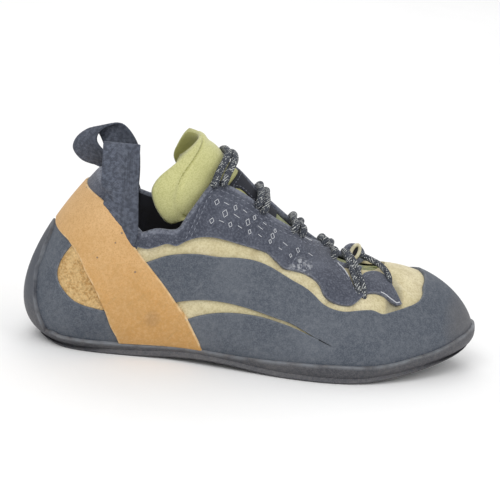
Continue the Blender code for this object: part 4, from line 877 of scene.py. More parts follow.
class Graph:
    """Adds nodes to a tree and links their sockets."""

    def __init__(self, tree):
        self.tree = tree

    def link(self, source, target):
        self.tree.links.new(source, target)

    def add(self, kind, inputs=None, **settings):
        """A node, its inputs linked or set."""
        node = self.tree.nodes.new(kind)
        for name, value in settings.items():
            setattr(node, name, value)
        for key, value in (inputs or {}).items():
            if isinstance(value, bpy.types.NodeSocket):
                self.link(value, node.inputs[key])
            else:
                node.inputs[key].default_value = value
        return node

    def math(self, operation, first, second=0.0):
        """The result of a sum on one or two values."""
        return self.add("ShaderNodeMath", {0: first, 1: second}, operation=operation).outputs[0]

    def plus(self, first, second):
        return self.math("ADD", first, second)

    def times(self, first, second):
        return self.math("MULTIPLY", first, second)

    def place(self):
        """Where a point lies on the shoe, in metres."""
        return self.add("ShaderNodeTexCoord").outputs["Object"]

    def split(self, vector):
        """X, Y and Z of a vector."""
        return self.add("ShaderNodeSeparateXYZ", {0: vector}).outputs

    def noise(self, scale, detail=3.0, rough=0.55, vector=None):
        """Cloudy noise on the shoe's own coordinates."""
        inputs = {"Vector": vector or self.place(), "Scale": scale, "Detail": detail, "Roughness": rough}
        return self.add("ShaderNodeTexNoise", inputs).outputs["Fac"]

    def span(self, value, low, high, start=0.0, end=1.0):
        """A value stretched from one range to another."""
        inputs = {"Value": value, "From Min": low, "From Max": high, "To Min": start, "To Max": end}
        return self.add("ShaderNodeMapRange", inputs).outputs["Result"]


def grain_effect(graph, given):
    """Fine grain: pores and small bumps of rubber, leather and board."""
    place = graph.place()
    fine = graph.noise(given["Scale"], 4.0, 0.6, place)
    cells = graph.add("ShaderNodeTexVoronoi", {"Vector": place, "Scale": given["Scale"]})
    pores = graph.times(cells.outputs["Distance"], given["Pores"])
    return (graph.plus(fine, pores),)


def mottle_effect(graph, given):
    """Cloudy patches between two levels of a noise."""
    noise = graph.noise(given["Scale"], 5.0, 0.6)
    return (graph.span(noise, given["From"], given["To"]),)


def edge_effect(graph, given):
    """Wear along a panel's edges, broken up by a noise; on the sole's rims also a painted highlight."""
    edge = graph.add("ShaderNodeAttribute", attribute_name="edge").outputs["Fac"]
    near = graph.span(edge, 0.0, given["Width"], 1.0, 0.0)
    broken = graph.span(graph.noise(given["Breakup"], 3.0), 0.35, 0.6)
    level = graph.times(near, graph.times(broken, given["Amount"]))
    return (level,)


def scuff_effect(graph, given):
    """Short scratches, stretched along the shoe."""
    place = graph.place()
    split = graph.split(place)
    along = graph.plus(split["X"], graph.times(split["Z"], 0.6))
    up = graph.times(graph.math("SUBTRACT", split["Z"], split["X"]), given["Stretch"])
    aside = graph.times(split["Y"], given["Stretch"])
    joined = graph.add("ShaderNodeCombineXYZ", {0: along, 1: aside, 2: up}).outputs[0]
    noise = graph.noise(given["Scale"], 4.0, 0.7, joined)
    patches = graph.span(graph.noise(30.0, 2.0), 0.45, 0.6)
    lines = graph.span(noise, 0.6, 0.68)
    level = graph.times(graph.times(lines, patches), given["Amount"])
    return (level,)


def weave_effect(graph, given):
    """A plain weave on the UV map: threads over and under each other."""
    split = graph.split(graph.add("ShaderNodeUVMap").outputs[0])
    across = graph.math("SINE", graph.times(split["X"], given["Across"]))
    along = graph.math("SINE", graph.times(split["Y"], given["Along"]))
    weave = graph.plus(graph.times(graph.times(across, along), 0.5), 0.5)
    fibre = graph.times(graph.noise(2500.0, 3.0), given["Fibre"])
    return graph.plus(weave, fibre), weave


def speck_effect(graph, given):
    """Small scattered dots."""
    place = graph.place()
    cells = graph.add("ShaderNodeTexVoronoi", {"Vector": place, "Scale": given["Scale"]})
    shape = graph.math("LESS_THAN", cells.outputs["Distance"], given["Size"])
    chosen = graph.add("ShaderNodeSeparateColor", {0: cells.outputs["Color"]}).outputs["Red"]
    kept = graph.math("LESS_THAN", chosen, given["Share"])
    return (graph.times(shape, kept),)


def area_effect(graph, given):
    """A soft round area of the shoe, given by its centre in x and z and its reach."""
    place = graph.place()
    split = graph.split(place)
    aside = graph.math("DIVIDE", graph.math("SUBTRACT", split["X"], given["Along"]), given["Reach along"])
    up = graph.math("DIVIDE", graph.math("SUBTRACT", split["Z"], given["Height"]), given["Reach up"])
    away = graph.plus(graph.times(aside, aside), graph.times(up, up))
    rough = graph.times(graph.noise(given["Breakup"], 4.0), 0.9)
    return (graph.span(graph.plus(away, rough), 1.45, 0.45),)


GROUPS = {}
# Shared effects: what makes each one, its values in, and its values out
EFFECTS = {
    "Grain": (grain_effect, {"Scale": 900.0, "Pores": 0.5}, ("Height",)),
    "Mottle": (mottle_effect, {"Scale": 40.0, "From": 0.45, "To": 0.65}, ("Mask",)),
    "Edge wear": (edge_effect, {"Width": 0.001, "Breakup": 300.0, "Amount": 0.6}, ("Mask",)),
    "Scuffs": (scuff_effect, {"Scale": 60.0, "Stretch": 7.0, "Amount": 0.5}, ("Mask",)),
    "Weave": (weave_effect, {"Across": 1200.0, "Along": 1200.0, "Fibre": 0.3}, ("Height", "Mask")),
    "Specks": (speck_effect, {"Scale": 500.0, "Size": 0.2, "Share": 0.5}, ("Mask",)),
    "Area": (area_effect, {
        "Along": 0.0, "Height": 0.0, "Reach along": 0.02, "Reach up": 0.02, "Breakup": 60.0,
    }, ("Mask",)),
}


def effect_group(name):
    """A shared effect as a node group, made the first time it is asked for."""
    if name in GROUPS:
        return GROUPS[name]
    maker, inputs, outputs = EFFECTS[name]
    tree = bpy.data.node_groups.new(name, "ShaderNodeTree")
    for label, value in inputs.items():
        socket = tree.interface.new_socket(label, in_out="INPUT", socket_type="NodeSocketFloat")
        socket.default_value = value
    for label in outputs:
        tree.interface.new_socket(label, in_out="OUTPUT", socket_type="NodeSocketFloat")
    graph = Graph(tree)
    results = maker(graph, graph.add("NodeGroupInput").outputs)
    out = graph.add("NodeGroupOutput").inputs
    for label, result in zip(outputs, results):
        graph.link(result, out[label])
    GROUPS[name] = tree
    return tree


def area(*values):
    """Values of the Area effect: its centre in x and z, its reach along both, and its breakup."""
    return dict(zip(("along", "height", "reach_along", "reach_up", "breakup"), values))


class Finish(Graph):
    """A material: a base colour with others painted over it, gloss and relief."""

    def __init__(self, name, colour, roughness):
        self.material = bpy.data.materials.new(name)
        self.material.use_nodes = True
        super().__init__(self.material.node_tree)
        self.shader = self.tree.nodes["Principled BSDF"]
        self.colour = None
        self.base = (*colour, 1.0)
        self.shader.inputs["Base Color"].default_value = self.base
        self.shader.inputs["Roughness"].default_value = roughness
        self.shader.inputs["Specular IOR Level"].default_value = 0.35
        self.bump = None

    def effect(self, name, output, /, **values):
        """A shared effect with this material's own values."""
        node = self.add("ShaderNodeGroup", node_tree=effect_group(name))
        for key, value in values.items():
            node.inputs[key.replace("_", " ").capitalize()].default_value = value
        return node.outputs[output]

    def paint(self, colour, mask, amount=1.0):
        """Paints a colour over the base where the mask says."""
        if amount < 1.0:
            mask = self.times(mask, amount)
        node = self.add("ShaderNodeMix", data_type="RGBA")
        self.link(mask, node.inputs[0])
        if self.colour is None:
            node.inputs[6].default_value = self.base
        else:
            self.link(self.colour, node.inputs[6])
        node.inputs[7].default_value = (*colour, 1.0)
        self.colour = node.outputs[2]
        self.link(self.colour, self.shader.inputs["Base Color"])

    def coat(self, colour, amount, effect, /, **values):
        """Paints a colour where a shared effect says."""
        self.paint(colour, self.effect(effect, "Mask", **values), amount)

    def emboss(self, depth, strength, effect, /, **values):
        """Bumps from a shared effect."""
        self.relief(self.effect(effect, "Height", **values), depth, strength)

    def gloss(self, mask, low, high):
        """Roughness from low to high where the mask says."""
        self.link(self.span(mask, 0.0, 1.0, low, high), self.shader.inputs["Roughness"])

    def sheen(self, weight):
        """Soft sheen of short fibres."""
        self.shader.inputs["Sheen Weight"].default_value = weight

    def relief(self, height, depth, strength=1.0):
        """Bumps of a depth in metres."""
        inputs = {"Height": height, "Distance": depth, "Strength": strength}
        if self.bump is not None:
            inputs["Normal"] = self.bump
        self.bump = self.add("ShaderNodeBump", inputs).outputs["Normal"]
        self.link(self.bump, self.shader.inputs["Normal"])


def leather_finish(colours):
    """Pale nubuck: fine nap, cloudy colour, rubbed patches, glue by the rubber, and painted shade in the
    crease by the toe rand.
    """
    finish = Finish("Nubuck", colours.leather, 0.88)
    finish.coat(colours.leather_worn, 0.65, "Mottle", scale=34.0)
    finish.coat(colours.leather_dark, 0.45, "Mottle", scale=120.0, to=0.75)
    finish.coat(colours.leather_dark, 0.35, "Mottle", scale=900.0, to=0.62)
    finish.coat(colours.sling, 0.65, "Area", **area(0.067, 0.0535, 0.016, 0.0035, 260.0))
    # Painted shade: a dark slate patch over the fold near the toe rand stands for the crease's shadow.
    finish.coat(colours.rand, 0.55, "Area", **area(0.16, 0.043, 0.006, 0.009, 220.0))
    finish.coat(colours.leather_worn, 0.6, "Scuffs", scale=90.0)
    finish.emboss(0.00012, 0.55, "Grain", scale=1500.0, pores=0.4)
    finish.relief(finish.noise(140.0, 3.0), 0.0008, 0.45)
    finish.sheen(0.25)
    finish.shader.inputs["Sheen Roughness"].default_value = 0.5
    return finish.material


def lining_finish(colours):
    """Dark woven lining inside the upper."""
    finish = Finish("Lining", colours.lining, 0.95)
    finish.coat(colours.microfibre, 0.3, "Mottle", scale=60.0)
    finish.emboss(0.00015, 0.7, "Weave", across=3200.0, along=3200.0)
    return finish.material


def rubber_finish(name, base, dust, edge_width):
    """Matte rubber: fine pores, chalk dust, scuffs, and wear along its edges."""
    finish = Finish(name, base, 0.62)
    clouds = finish.effect("Mottle", "Mask", scale=26.0, to=0.72)
    finish.paint(dust, clouds, 0.38)
    finish.coat(dust, 0.3, "Mottle", scale=420.0, to=0.72)
    finish.coat(dust, 0.3, "Mottle", scale=1400.0, to=0.6)
    finish.coat(dust, 0.5, "Scuffs", scale=70.0)
    finish.coat(dust, 0.8, "Edge wear", width=edge_width, amount=0.85)
    finish.gloss(clouds, 0.52, 0.78)
    finish.emboss(0.0001, 0.5, "Grain", scale=1300.0, pores=0.5)
    finish.relief(finish.noise(90.0, 3.0), 0.0007, 0.35)
    return finish


def rand_finish(colours):
    """Slate rubber with chalk dust and a brownish toe."""
    finish = rubber_finish("Rand rubber", colours.rand, colours.rand_dust_and_highlight, 0.0011)
    finish.coat(colours.rand_worn, 0.45, "Area", **area(0.206, 0.03, 0.018, 0.018, 90.0))
    return finish.material


def sole_finish(colours):
    """Dark sole rubber, dusty along its edge, with a painted highlight along its rims."""
    finish = rubber_finish("Sole rubber", colours.sole, colours.sole_worn, 0.0013)
    finish.coat(colours.sole_worn, 0.35, "Scuffs", scale=150.0, stretch=12.0)
    finish.coat(colours.rand, 0.7, "Area", **area(-0.046, 0.046, 0.026, 0.034, 60.0))
    # Painted highlight with chalk dust: a pale band along the sole's rims, such as the heel wrap's raised
    # border.
    finish.coat(colours.rand_dust_and_highlight, 0.9, "Edge wear", width=0.002, breakup=90.0, amount=1.0)
    return finish.material


def sling_finish(colours):
    """Tan rubber, paler towards the top, with stains and specks."""
    finish = Finish("Sling rubber", colours.sling, 0.6)
    height = finish.plus(finish.split(finish.place())["Z"], finish.times(finish.noise(45.0), 0.03))
    finish.paint(colours.sling_pale, finish.span(height, 0.045, 0.095), 0.9)
    finish.coat(colours.sling_pale, 0.35, "Mottle", scale=70.0)
    finish.coat(colours.patch, 0.6, "Mottle", scale=32.0, to=0.8)
    finish.coat(colours.patch, 0.6, "Mottle", scale=1300.0, to=0.6)
    finish.coat(colours.leather_dark, 0.55, "Scuffs", scale=80.0, stretch=4.0)
    finish.coat(colours.rand, 0.22, "Area", **area(0.027, 0.024, 0.005, 0.006, 400.0))
    finish.coat(colours.sling_pale, 0.35, "Mottle", scale=600.0, to=0.62)
    finish.coat(colours.patch, 0.4, "Mottle", scale=260.0, to=0.8)
    finish.coat(colours.rand, 0.6, "Specks", scale=330.0, size=0.22, share=0.045)
    finish.coat(colours.sling_cut, 0.85, "Edge wear", width=0.0012, amount=1.0)
    finish.emboss(0.0001, 0.5, "Grain", scale=1200.0, pores=0.4)
    finish.relief(finish.noise(110.0, 3.0), 0.0006, 0.35)
    return finish.material


def patch_finish(colours):
    """Amber rubber with golden flecks."""
    finish = Finish("Patch rubber", colours.patch, 0.68)
    finish.coat(colours.patch_light, 0.7, "Mottle", scale=130.0)
    finish.coat(colours.leather_dark, 0.6, "Scuffs", scale=130.0, stretch=3.0, amount=1.0)
    finish.coat(colours.leather_dark, 0.45, "Mottle", scale=1200.0, to=0.6)
    finish.coat(colours.patch_light, 0.5, "Mottle", scale=700.0, to=0.55)
    finish.emboss(0.00018, 0.7, "Grain", scale=900.0, pores=0.7)
    finish.relief(finish.noise(220.0, 4.0), 0.003, 1.0)
    return finish.material


def microfibre_finish(colours):
    """Dark brushed microfibre with light fibres and rubbed edges."""
    finish = Finish("Microfibre", colours.microfibre, 0.9)
    finish.coat(colours.microfibre_fleck, 0.55, "Mottle", scale=900.0, to=0.75)
    finish.coat(colours.microfibre_fleck, 0.35, "Mottle", scale=60.0, to=0.8)
    finish.coat(colours.microfibre_fleck, 0.5, "Scuffs", scale=240.0, stretch=3.0)
    scuff = finish.effect("Area", "Mask", **area(0.1056, 0.058, 0.008, 0.006, 300.0))
    bits = finish.effect("Mottle", "Mask", scale=520.0, to=0.6)
    finish.paint(colours.mark, finish.times(scuff, bits), 0.55)
    finish.coat(colours.mark, 0.4, "Specks", scale=1500.0, size=0.18, share=0.16)
    finish.coat(colours.microfibre_fleck, 0.9, "Edge wear", width=0.0009, breakup=700.0, amount=0.9)
    finish.emboss(0.00016, 0.8, "Grain", scale=2200.0, pores=0.3)
    finish.relief(finish.noise(120.0, 3.0), 0.0007, 0.4)
    finish.sheen(0.2)
    return finish.material


def thread_finish(name, colour):
    """Twisted sewing thread or printed mark."""
    finish = Finish(name, colour, 0.75)
    finish.coat(tuple(0.6 * value for value in colour), 0.5, "Mottle", scale=900.0)
    finish.emboss(0.00005, 0.6, "Grain", scale=3500.0)
    return finish.material


def tongue_finish(name, base, shade, threads):
    """Knitted cover: small loops with pores between them."""
    finish = Finish(name, base, 0.92)
    finish.coat(shade, 0.2, "Weave", across=threads, along=threads)
    finish.coat(shade, 0.25, "Mottle", scale=40.0)
    finish.coat(shade, 0.55, "Mottle", scale=1300.0, to=0.6)
    finish.emboss(0.00012, 0.6, "Weave", across=threads, along=threads)
    finish.emboss(0.00015, 0.6, "Grain", scale=1800.0)
    finish.relief(finish.noise(90.0, 3.0), 0.0012, 0.35)
    finish.sheen(0.3)
    return finish.material


def label_finish(colours):
    """Bare woven patch."""
    finish = Finish("Label", colours.label, 0.85)
    finish.coat(colours.microfibre, 0.5, "Weave", across=5200.0, along=2600.0)
    finish.emboss(0.0001, 0.8, "Weave", across=5200.0, along=2600.0)
    return finish.material


def webbing_finish(colours):
    """Flat woven webbing: ribs along it, threads across it, darker grooves."""
    finish = Finish("Webbing", colours.webbing, 0.8)
    finish.coat(colours.webbing_dark, 0.35, "Weave", across=2600.0, along=4200.0)
    finish.coat(colours.rand_dust_and_highlight, 0.25, "Mottle", scale=90.0, to=0.8)
    finish.coat(colours.webbing_dark, 0.8, "Edge wear", width=0.0016, breakup=500.0, amount=0.8)
    finish.emboss(0.00022, 0.9, "Weave", across=2600.0, along=4200.0)
    return finish.material


def lace_finish(colours):
    """Round braid: crossing strands with pale flecks, and painted shade in the grooves between them."""
    finish = Finish("Lace cord", colours.lace, 0.85)
    split = finish.split(finish.add("ShaderNodeUVMap").outputs[0])
    turn = finish.times(split["X"], 3500.0)
    along = finish.times(split["Y"], 3000.0)
    right = finish.math("SINE", finish.plus(along, turn))
    left = finish.math("SINE", finish.math("SUBTRACT", along, turn))
    braid = finish.math("MAXIMUM", right, left)
    # Painted shade: the dark webbing colour in the grooves between the braid's strands, where the relief is
    # low.
    finish.paint(colours.webbing_dark, finish.span(braid, 0.45, -0.2), 0.75)
    patches = finish.span(finish.noise(330.0, 1.0), 0.52, 0.56)
    flecks = finish.times(finish.span(right, 0.55, 0.85), patches)
    finish.paint(colours.lace_fleck, flecks, 0.9)
    finish.coat(colours.lace_fleck, 0.75, "Specks", scale=1100.0, size=0.36, share=0.4)
    finish.relief(braid, 0.00035, 0.8)
    return finish.material


def eyelet_finish(colours):
    """Pale painted ring."""
    finish = Finish("Eyelet", colours.eyelet, 0.45)
    finish.coat(colours.leather_dark, 0.5, "Mottle", scale=300.0)
    finish.emboss(0.00008, 0.5, "Grain", scale=1500.0)
    return finish.material


def board_finish(colours):
    """Grey-brown inner sole board."""
    finish = Finish("Board", colours.board, 0.9)
    finish.coat(colours.lining, 0.4, "Mottle", scale=90.0)
    finish.emboss(0.00015, 0.7, "Grain", scale=900.0)
    return finish.material


def floor_finish(colours):
    """Pale studio floor."""
    finish = Finish("Floor", colours.floor, 0.8)
    finish.coat(tuple(0.96 * value for value in colours.floor), 0.5, "Mottle", scale=6.0)
    return finish.material


LASTS = {}


def shoe_last(context):
    """The last for the present sizes, built once."""
    sizes = context.scene.shoe_sizes
    key = tuple(getattr(sizes, name) for name in ShoeSizes.__annotations__)
    if key not in LASTS:
        LASTS.clear()
        LASTS[key] = Last(sizes)
    return LASTS[key]


def shoe_parts(context):
    """The last, its sizes and the shoe's colours."""
    last = shoe_last(context)
    return last, last.sizes, context.scene.shoe_colours


def finish_of(name, maker, *values):
    """A material by name, made the first time it is asked for."""
    return bpy.data.materials.get(name) or maker(*values)


def fold_depth(rings, rises):
    """How far the leather's folds push it out or in."""
    depth = np.zeros(np.broadcast(rings, rises).shape)
    for fold in named_rows(FOLD_COLUMNS, FOLDS):
        around = rings - fold["ring"]
        upward = rises - fold["rise"] - fold["slant"] * around
        away = (around / fold["around"]) ** 2 * 0.25 + (upward / fold["upward"] * 2.5) ** 2
        depth = depth + fold["depth"] * np.exp(-away)
    return depth


def upper_form(last):
    """The leather body, from under the foot's edge to the throat."""
    rings = np.linspace(0.0, RING, 421)
    low = np.zeros_like(rings) + 0.01
    top = last.throat(np.mod(rings, RING))
    shares = np.linspace(0.0, 1.0, 64)
    rises = low[:, None] + (top - low)[:, None] * shares[None, :]
    wide = np.repeat(rings[:, None], len(shares), axis=1)
    offset = last.sizes.leather + fold_depth(wide, rises)
    offset = np.where(shares[None, :] > 0.97, last.sizes.leather, offset)
    return grid_form(last.layer(wide, rises, offset))


class SHOE_OT_upper(bpy.types.Operator):
    """Leather body with its lining, and the rolled edge round the collar"""

    bl_idname = "shoe.upper"
    bl_label = "Upper"

    def execute(self, context):
        last, sizes, colours = shoe_parts(context)
        leather = leather_finish(colours)
        lining = finish_of("Lining", lining_finish, colours)
        add_piece(upper_form(last), "upper_leather", (leather, lining), ("upper",),
                  wall=sizes.leather, rounding=0.0005)
        microfibre = finish_of("Microfibre", microfibre_finish, colours)
        middle = 0.5 * last.outside
        rings = np.linspace(*BINDING_ENDS, 420)
        rim = last.layer(rings, last.throat(np.mod(rings, RING)), middle)
        binding = tube_form(rim, middle * 1.02, 12)
        add_piece(binding, "collar_binding", (microfibre,), (), closed=True)
        return {"FINISHED"}


def sole_rings(last):
    """Ring places round the sole, closer together where the heel wrap's edge is steep."""
    wrap = last.at_shares(last.wrap, np.linspace(0.0, 1.0, 44))[:, 0]
    wrap = np.maximum.accumulate(wrap + np.arange(len(wrap)) * 1e-4)
    side = np.linspace(wrap[-1], LAST_ROW, 170)[1:]
    half = np.concatenate((wrap, side))
    return np.concatenate((half, (RING - half[::-1])[1:]))


def sole_top(last, rings):
    """Rise of the sole's upper edge: the side band, and the wrap up the back of the heel."""
    half = np.minimum(rings, RING - rings)
    end = last.wrap[-1, 0]
    wrap = rise_along(last.wrap)(half)
    band = last.band(np.mod(rings, RING))
    blend = np.clip((half - end) / 0.12, 0.0, 1.0)
    return np.where(half <= end, np.maximum(wrap, band), wrap + (band - wrap) * blend)


def sole_form(last):
    """Sole as one skin: tread, side band and heel wrap."""
    sizes = last.sizes
    rings = sole_rings(last)
    top = sole_top(last, rings)
    foot = last.point(rings, np.zeros_like(rings))
    plan = last.foot_normal(rings)
    low = foot + plan * (sizes.sole_lip - sizes.sole_edge)
    low[:, 2] = last.ground(low[:, 0])
    edge = foot + plan * sizes.sole_lip
    edge[:, 2] = last.ground(edge[:, 0]) + sizes.sole_edge
    shares = np.linspace(0.05, 1.0, 26) ** 1.1
    rises = top[:, None] * shares[None, :]
    wide = np.repeat(rings[:, None], len(shares), axis=1)
    side = last.layer(wide, rises, last.over + sizes.sole_side)
    form = grid_form(np.concatenate((low[:, None], edge[:, None], side), axis=1))
    half = len(rings) // 2
    near = low[:half + 1]
    far = low[::-1][:half + 1]
    across = np.linspace(0.0, 1.0, 29)[None, :, None]
    tread = near[:, None] * (1.0 - across) + far[:, None] * across
    tread[..., 2] = last.ground(tread[..., 0])
    return grid_form(tread, form)


class SHOE_OT_sole(bpy.types.Operator):
    """Rubber sole with its side band and its wrap up the back of the heel"""

    bl_idname = "shoe.sole"
    bl_label = "Sole"

    def execute(self, context):
        last, sizes, colours = shoe_parts(context)
        finish = sole_finish(colours)
        add_piece(sole_form(last), "sole", (finish,), ("outsole",),
                  wall=sizes.sole_side, rounding=0.0006, segments=3)
        board = board_finish(colours)
        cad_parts["insole"].data.materials.clear()
        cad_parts["insole"].data.materials.append(board)
        return {"FINISHED"}


def crossing(last, path, row, distance):
    """Ring place where a row meets a panel's edge path, moved on by a distance."""
    miss = path[:, 1] - row(path[:, 0])
    for index in range(len(miss) - 1):
        if miss[index] >= 0.0 > miss[index + 1]:
            share = miss[index] / (miss[index] - miss[index + 1])
            ring = path[index, 0] + share * (path[index + 1, 0] - path[index, 0])
            break
    else:
        ring = path[-1, 0]
    return ring + float(last.ring_step(ring, float(row(ring)), distance))


def slot_row(last, path):
    """Rise along the slot's edge, and past its tip along the rand's middle."""
    tip_ring, tip_rise = last.slot_top[-1]
    edge = rise_along(path)

    def rise(ring):
        blend = np.clip((ring - tip_ring) / SLOT_FADE, 0.0, 1.0)
        blend = blend * blend * (3.0 - 2.0 * blend)
        middle = 0.5 * (last.band(np.mod(ring, RING)) + last.rand_edge(ring))
        return np.where(ring < tip_ring, edge(ring), (1.0 - blend) * tip_rise + blend * middle)

    return rise


def rand_strip(last, low, high, rows, offset, form):
    """Grid of the rand between two rows, from the strap round the toe to the strap."""
    tip = last.slot_top[-1, 0]
    points = []
    for share in np.linspace(0.0, 1.0, rows):
        def row(ring, share=share):
            return low(ring) + (high(ring) - low(ring)) * share

        def mirrored(ring, row=row):
            return row(RING - ring)

        start = crossing(last, last.sling_front, row, -0.002)
        finish = RING - crossing(last, last.sling_front, mirrored, -0.002)
        lead = np.linspace(start, tip, 64)
        middle = np.linspace(tip, RING - tip, 190)[1:-1]
        trail = np.linspace(RING - tip, finish, 64)
        rings = np.concatenate((lead, middle, trail))
        points.append(last.layer(rings, row(rings), offset))
    return grid_form(np.array(points), form)


class SHOE_OT_rand(bpy.types.Operator):
    """Slate rubber round the forefoot with the long slot, and beside the heel"""

    bl_idname = "shoe.rand"
    bl_label = "Rand"

    def execute(self, context):
        last, sizes, colours = shoe_parts(context)
        finish = rand_finish(colours)
        offset = last.over + sizes.rand
        form = bmesh.new()
        rand_strip(last, lambda ring: 0.7 * last.band(np.mod(ring, RING)),
                   slot_row(last, last.slot_low), 16, offset, form)
        rand_strip(last, slot_row(last, last.slot_top), last.rand_edge, 14, offset, form)
        add_piece(form, "toe_rand", (finish,), ("rand",),
                  wall=sizes.rand + sizes.gap + sizes.sunk, rounding=0.0005, segments=3)
        for side in SIDES:
            panel, patch = heel_forms(last, side)
            add_piece(panel, "heel_rubber_" + side, (finish,), ("heel_rand_" + side,),
                      wall=sizes.heel_rand + sizes.gap + sizes.sunk, rounding=0.0004)
            amber = finish_of("Patch rubber", patch_finish, colours)
            add_piece(patch, "heel_amber_" + side, (amber,), ("heel_patch_" + side,),
                      wall=sizes.patch + sizes.gap + sizes.sunk, rounding=0.0003)
        return {"FINISHED"}


def heel_forms(last, side):
    """Grids of the rubber beside the heel and of the amber patch in its cut-out."""
    sign = 1.0 if side == OUTER else -1.0
    end = last.wrap[-1, 0]
    band_rings = np.linspace(end, last.sling_rear[-1, 0], 14)
    band_low = np.stack((band_rings, 0.6 * last.band(np.mod(sign * band_rings, RING))), axis=1)
    left = np.vstack((last.wrap[:-1], band_low))
    left[:, 0] -= last.ring_step(left[:, 0], left[:, 1], 0.0012)
    right = last.sling_rear.copy()
    right[:, 0] += last.ring_step(right[:, 0], right[:, 1], 0.002)
    cut = last.path(HEEL_CUTOUT)
    points = last.layer(right[:, 0], right[:, 1], last.over)
    reach = last.lengths(right) / last.lengths(right)[-1]
    first, final = [
        reach[np.argmin(np.linalg.norm(points - last.layer(place[0], place[1], last.over), axis=1))]
        for place in (cut[0], cut[-1])
    ]
    shares = np.concatenate((
        np.linspace(0.03, first, CUT_ABOVE + 1)[:-1], np.linspace(first, final, CUT_ALONG),
        np.linspace(final, 1.0, CUT_BELOW)[1:],
    ))
    left_places = last.at_shares(left, shares)
    right_places = last.at_shares(right, shares)
    cut_places = last.at_shares(cut, np.linspace(0.0, 1.0, CUT_ALONG))
    edge = right_places.copy()
    edge[CUT_ROWS] = cut_places
    rings, rises = between(left_places, edge, CUT_BELOW)
    panel = grid_form(last.layer(sign * rings, rises, last.over + last.sizes.heel_rand))
    patch_edge = cut_places.copy()
    patch_edge[:, 0] -= last.ring_step(patch_edge[:, 0], patch_edge[:, 1], 0.003)
    rings, rises = between(patch_edge, right_places[CUT_ROWS], CUT_BELOW)
    patch = grid_form(last.layer(sign * rings, rises, last.over + last.sizes.patch - 0.0005))
    return panel, patch


class SHOE_OT_sling(bpy.types.Operator):
    """Tan rubber strap from the sole over the back of the heel to the other side"""

    bl_idname = "shoe.sling"
    bl_label = "Heel strap"

    def execute(self, context):
        last, sizes, colours = shoe_parts(context)
        shares = np.linspace(0.0, 1.0, 90)
        rear = last.at_shares(last.sling_rear, shares)
        front = last.at_shares(last.sling_front, shares)
        rings, rises = between(rear, front, 26)
        late = shares[:, None] - TUCK_START
        rises = np.where(shares[:, None] > TUCK_START, rises - late * TUCK_SLOPE, rises)
        rings = np.concatenate((rings[:0:-1], -rings))
        rises = np.concatenate((rises[:0:-1], rises))
        offset = last.over + sizes.sling_lift + sizes.sling
        form = grid_form(last.layer(rings, rises, offset))
        finish = sling_finish(colours)
        add_piece(form, "heel_strap", (finish,), ("sling",),
                  wall=sizes.sling + sizes.sling_lift + sizes.gap + sizes.sunk, rounding=0.0007, segments=3)
        return {"FINISHED"}


def quarter_edges(last, side):
    """Lower and upper edge of the microfibre over the ring, and the ring place of its tip."""
    if side == OUTER:
        low_path = last.path(QUARTER_LOW_OUT)
        top_path = last.path(QUARTER_TOP_OUT)
        tip = 0.5 * (low_path[-1, 0] + top_path[-1, 0])
        ceiling = rise_along(top_path, left=1.0)
    else:
        low_path = last.path(QUARTER_LOW_IN)
        low_path[:, 0] = RING - low_path[:, 0]
        tip = low_path[-1, 0]
        ceiling = np.ones_like
    base = rise_along(low_path, left=0.0)

    def low(ring):
        return np.maximum(base(ring), last.under_sling(ring))

    def top(ring):
        rim = last.throat(on_side(side, ring)) - last.rise_step(ring, TOP_RISE, last.sizes.quarter_inset)
        return np.minimum(ceiling(ring), rim)

    return low, top, tip


def quarter_lines(last, side):
    """Seam lines on the microfibre, as rings and rises: along its edges and across it."""
    low, top, tip = quarter_edges(last, side)
    lines = []
    for end, inset in zip((tip - SEAM_SHORT, SEAM_END), SEAM_INSETS):
        rings = np.linspace(SEAM_START, end, 260)
        rise = top(rings) - last.rise_step(rings, TOP_RISE, inset)
        kept = rise > low(rings) + last.rise_step(rings, TOP_RISE, 0.0015)
        lines.append((rings[kept], rise[kept]))
    for ring, lean in CROSS_SEAMS:
        share = np.linspace(0.08, 0.9, 60)
        rings = ring + lean * (1.0 - share) ** 2
        rises = low(rings) + (top(rings) - low(rings)) * share
        lines.append((rings, rises))
    return lines


class SHOE_OT_quarters(bpy.types.Operator):
    """Dark microfibre of the collar and eyestay, with its seams and marks"""

    bl_idname = "shoe.quarters"
    bl_label = "Quarters"

    def execute(self, context):
        last, sizes, colours = shoe_parts(context)
        microfibre = finish_of("Microfibre", microfibre_finish, colours)
        thread = finish_of("Thread", thread_finish, "Thread", colours.thread)
        mark = thread_finish("Mark", colours.mark)
        for side in SIDES:
            low, top, tip = quarter_edges(last, side)
            rings = np.linspace(0.0, tip, 300)
            places = on_side(side, rings)
            shares = np.linspace(0.0, 1.0, 24)
            lows = low(rings)
            rises = lows[:, None] + (top(rings) - lows)[:, None] * shares[None, :]
            wide = np.repeat(places[:, None], len(shares), axis=1)
            form = grid_form(last.layer(wide, rises, last.outside))
            wall = sizes.quarter + sizes.quarter_lift + sizes.gap + sizes.sunk
            add_piece(form, "quarter_panel_" + side, (microfibre,),
                      ("quarter_" + side,), wall=wall, rounding=0.0004)
            seams = bmesh.new()
            for rings, rises in quarter_lines(last, side):
                places = on_side(side, rings)
                points = last.layer(places, rises, last.outside)
                add_stitches(seams, points, last.normal(places, rises), sizes)
            add_piece(seams, "quarter_stitches_" + side, (thread,), (), closed=True)
        add_piece(mark_form(last), "eyestay_marks", (mark,), (), closed=True)
        return {"FINISHED"}


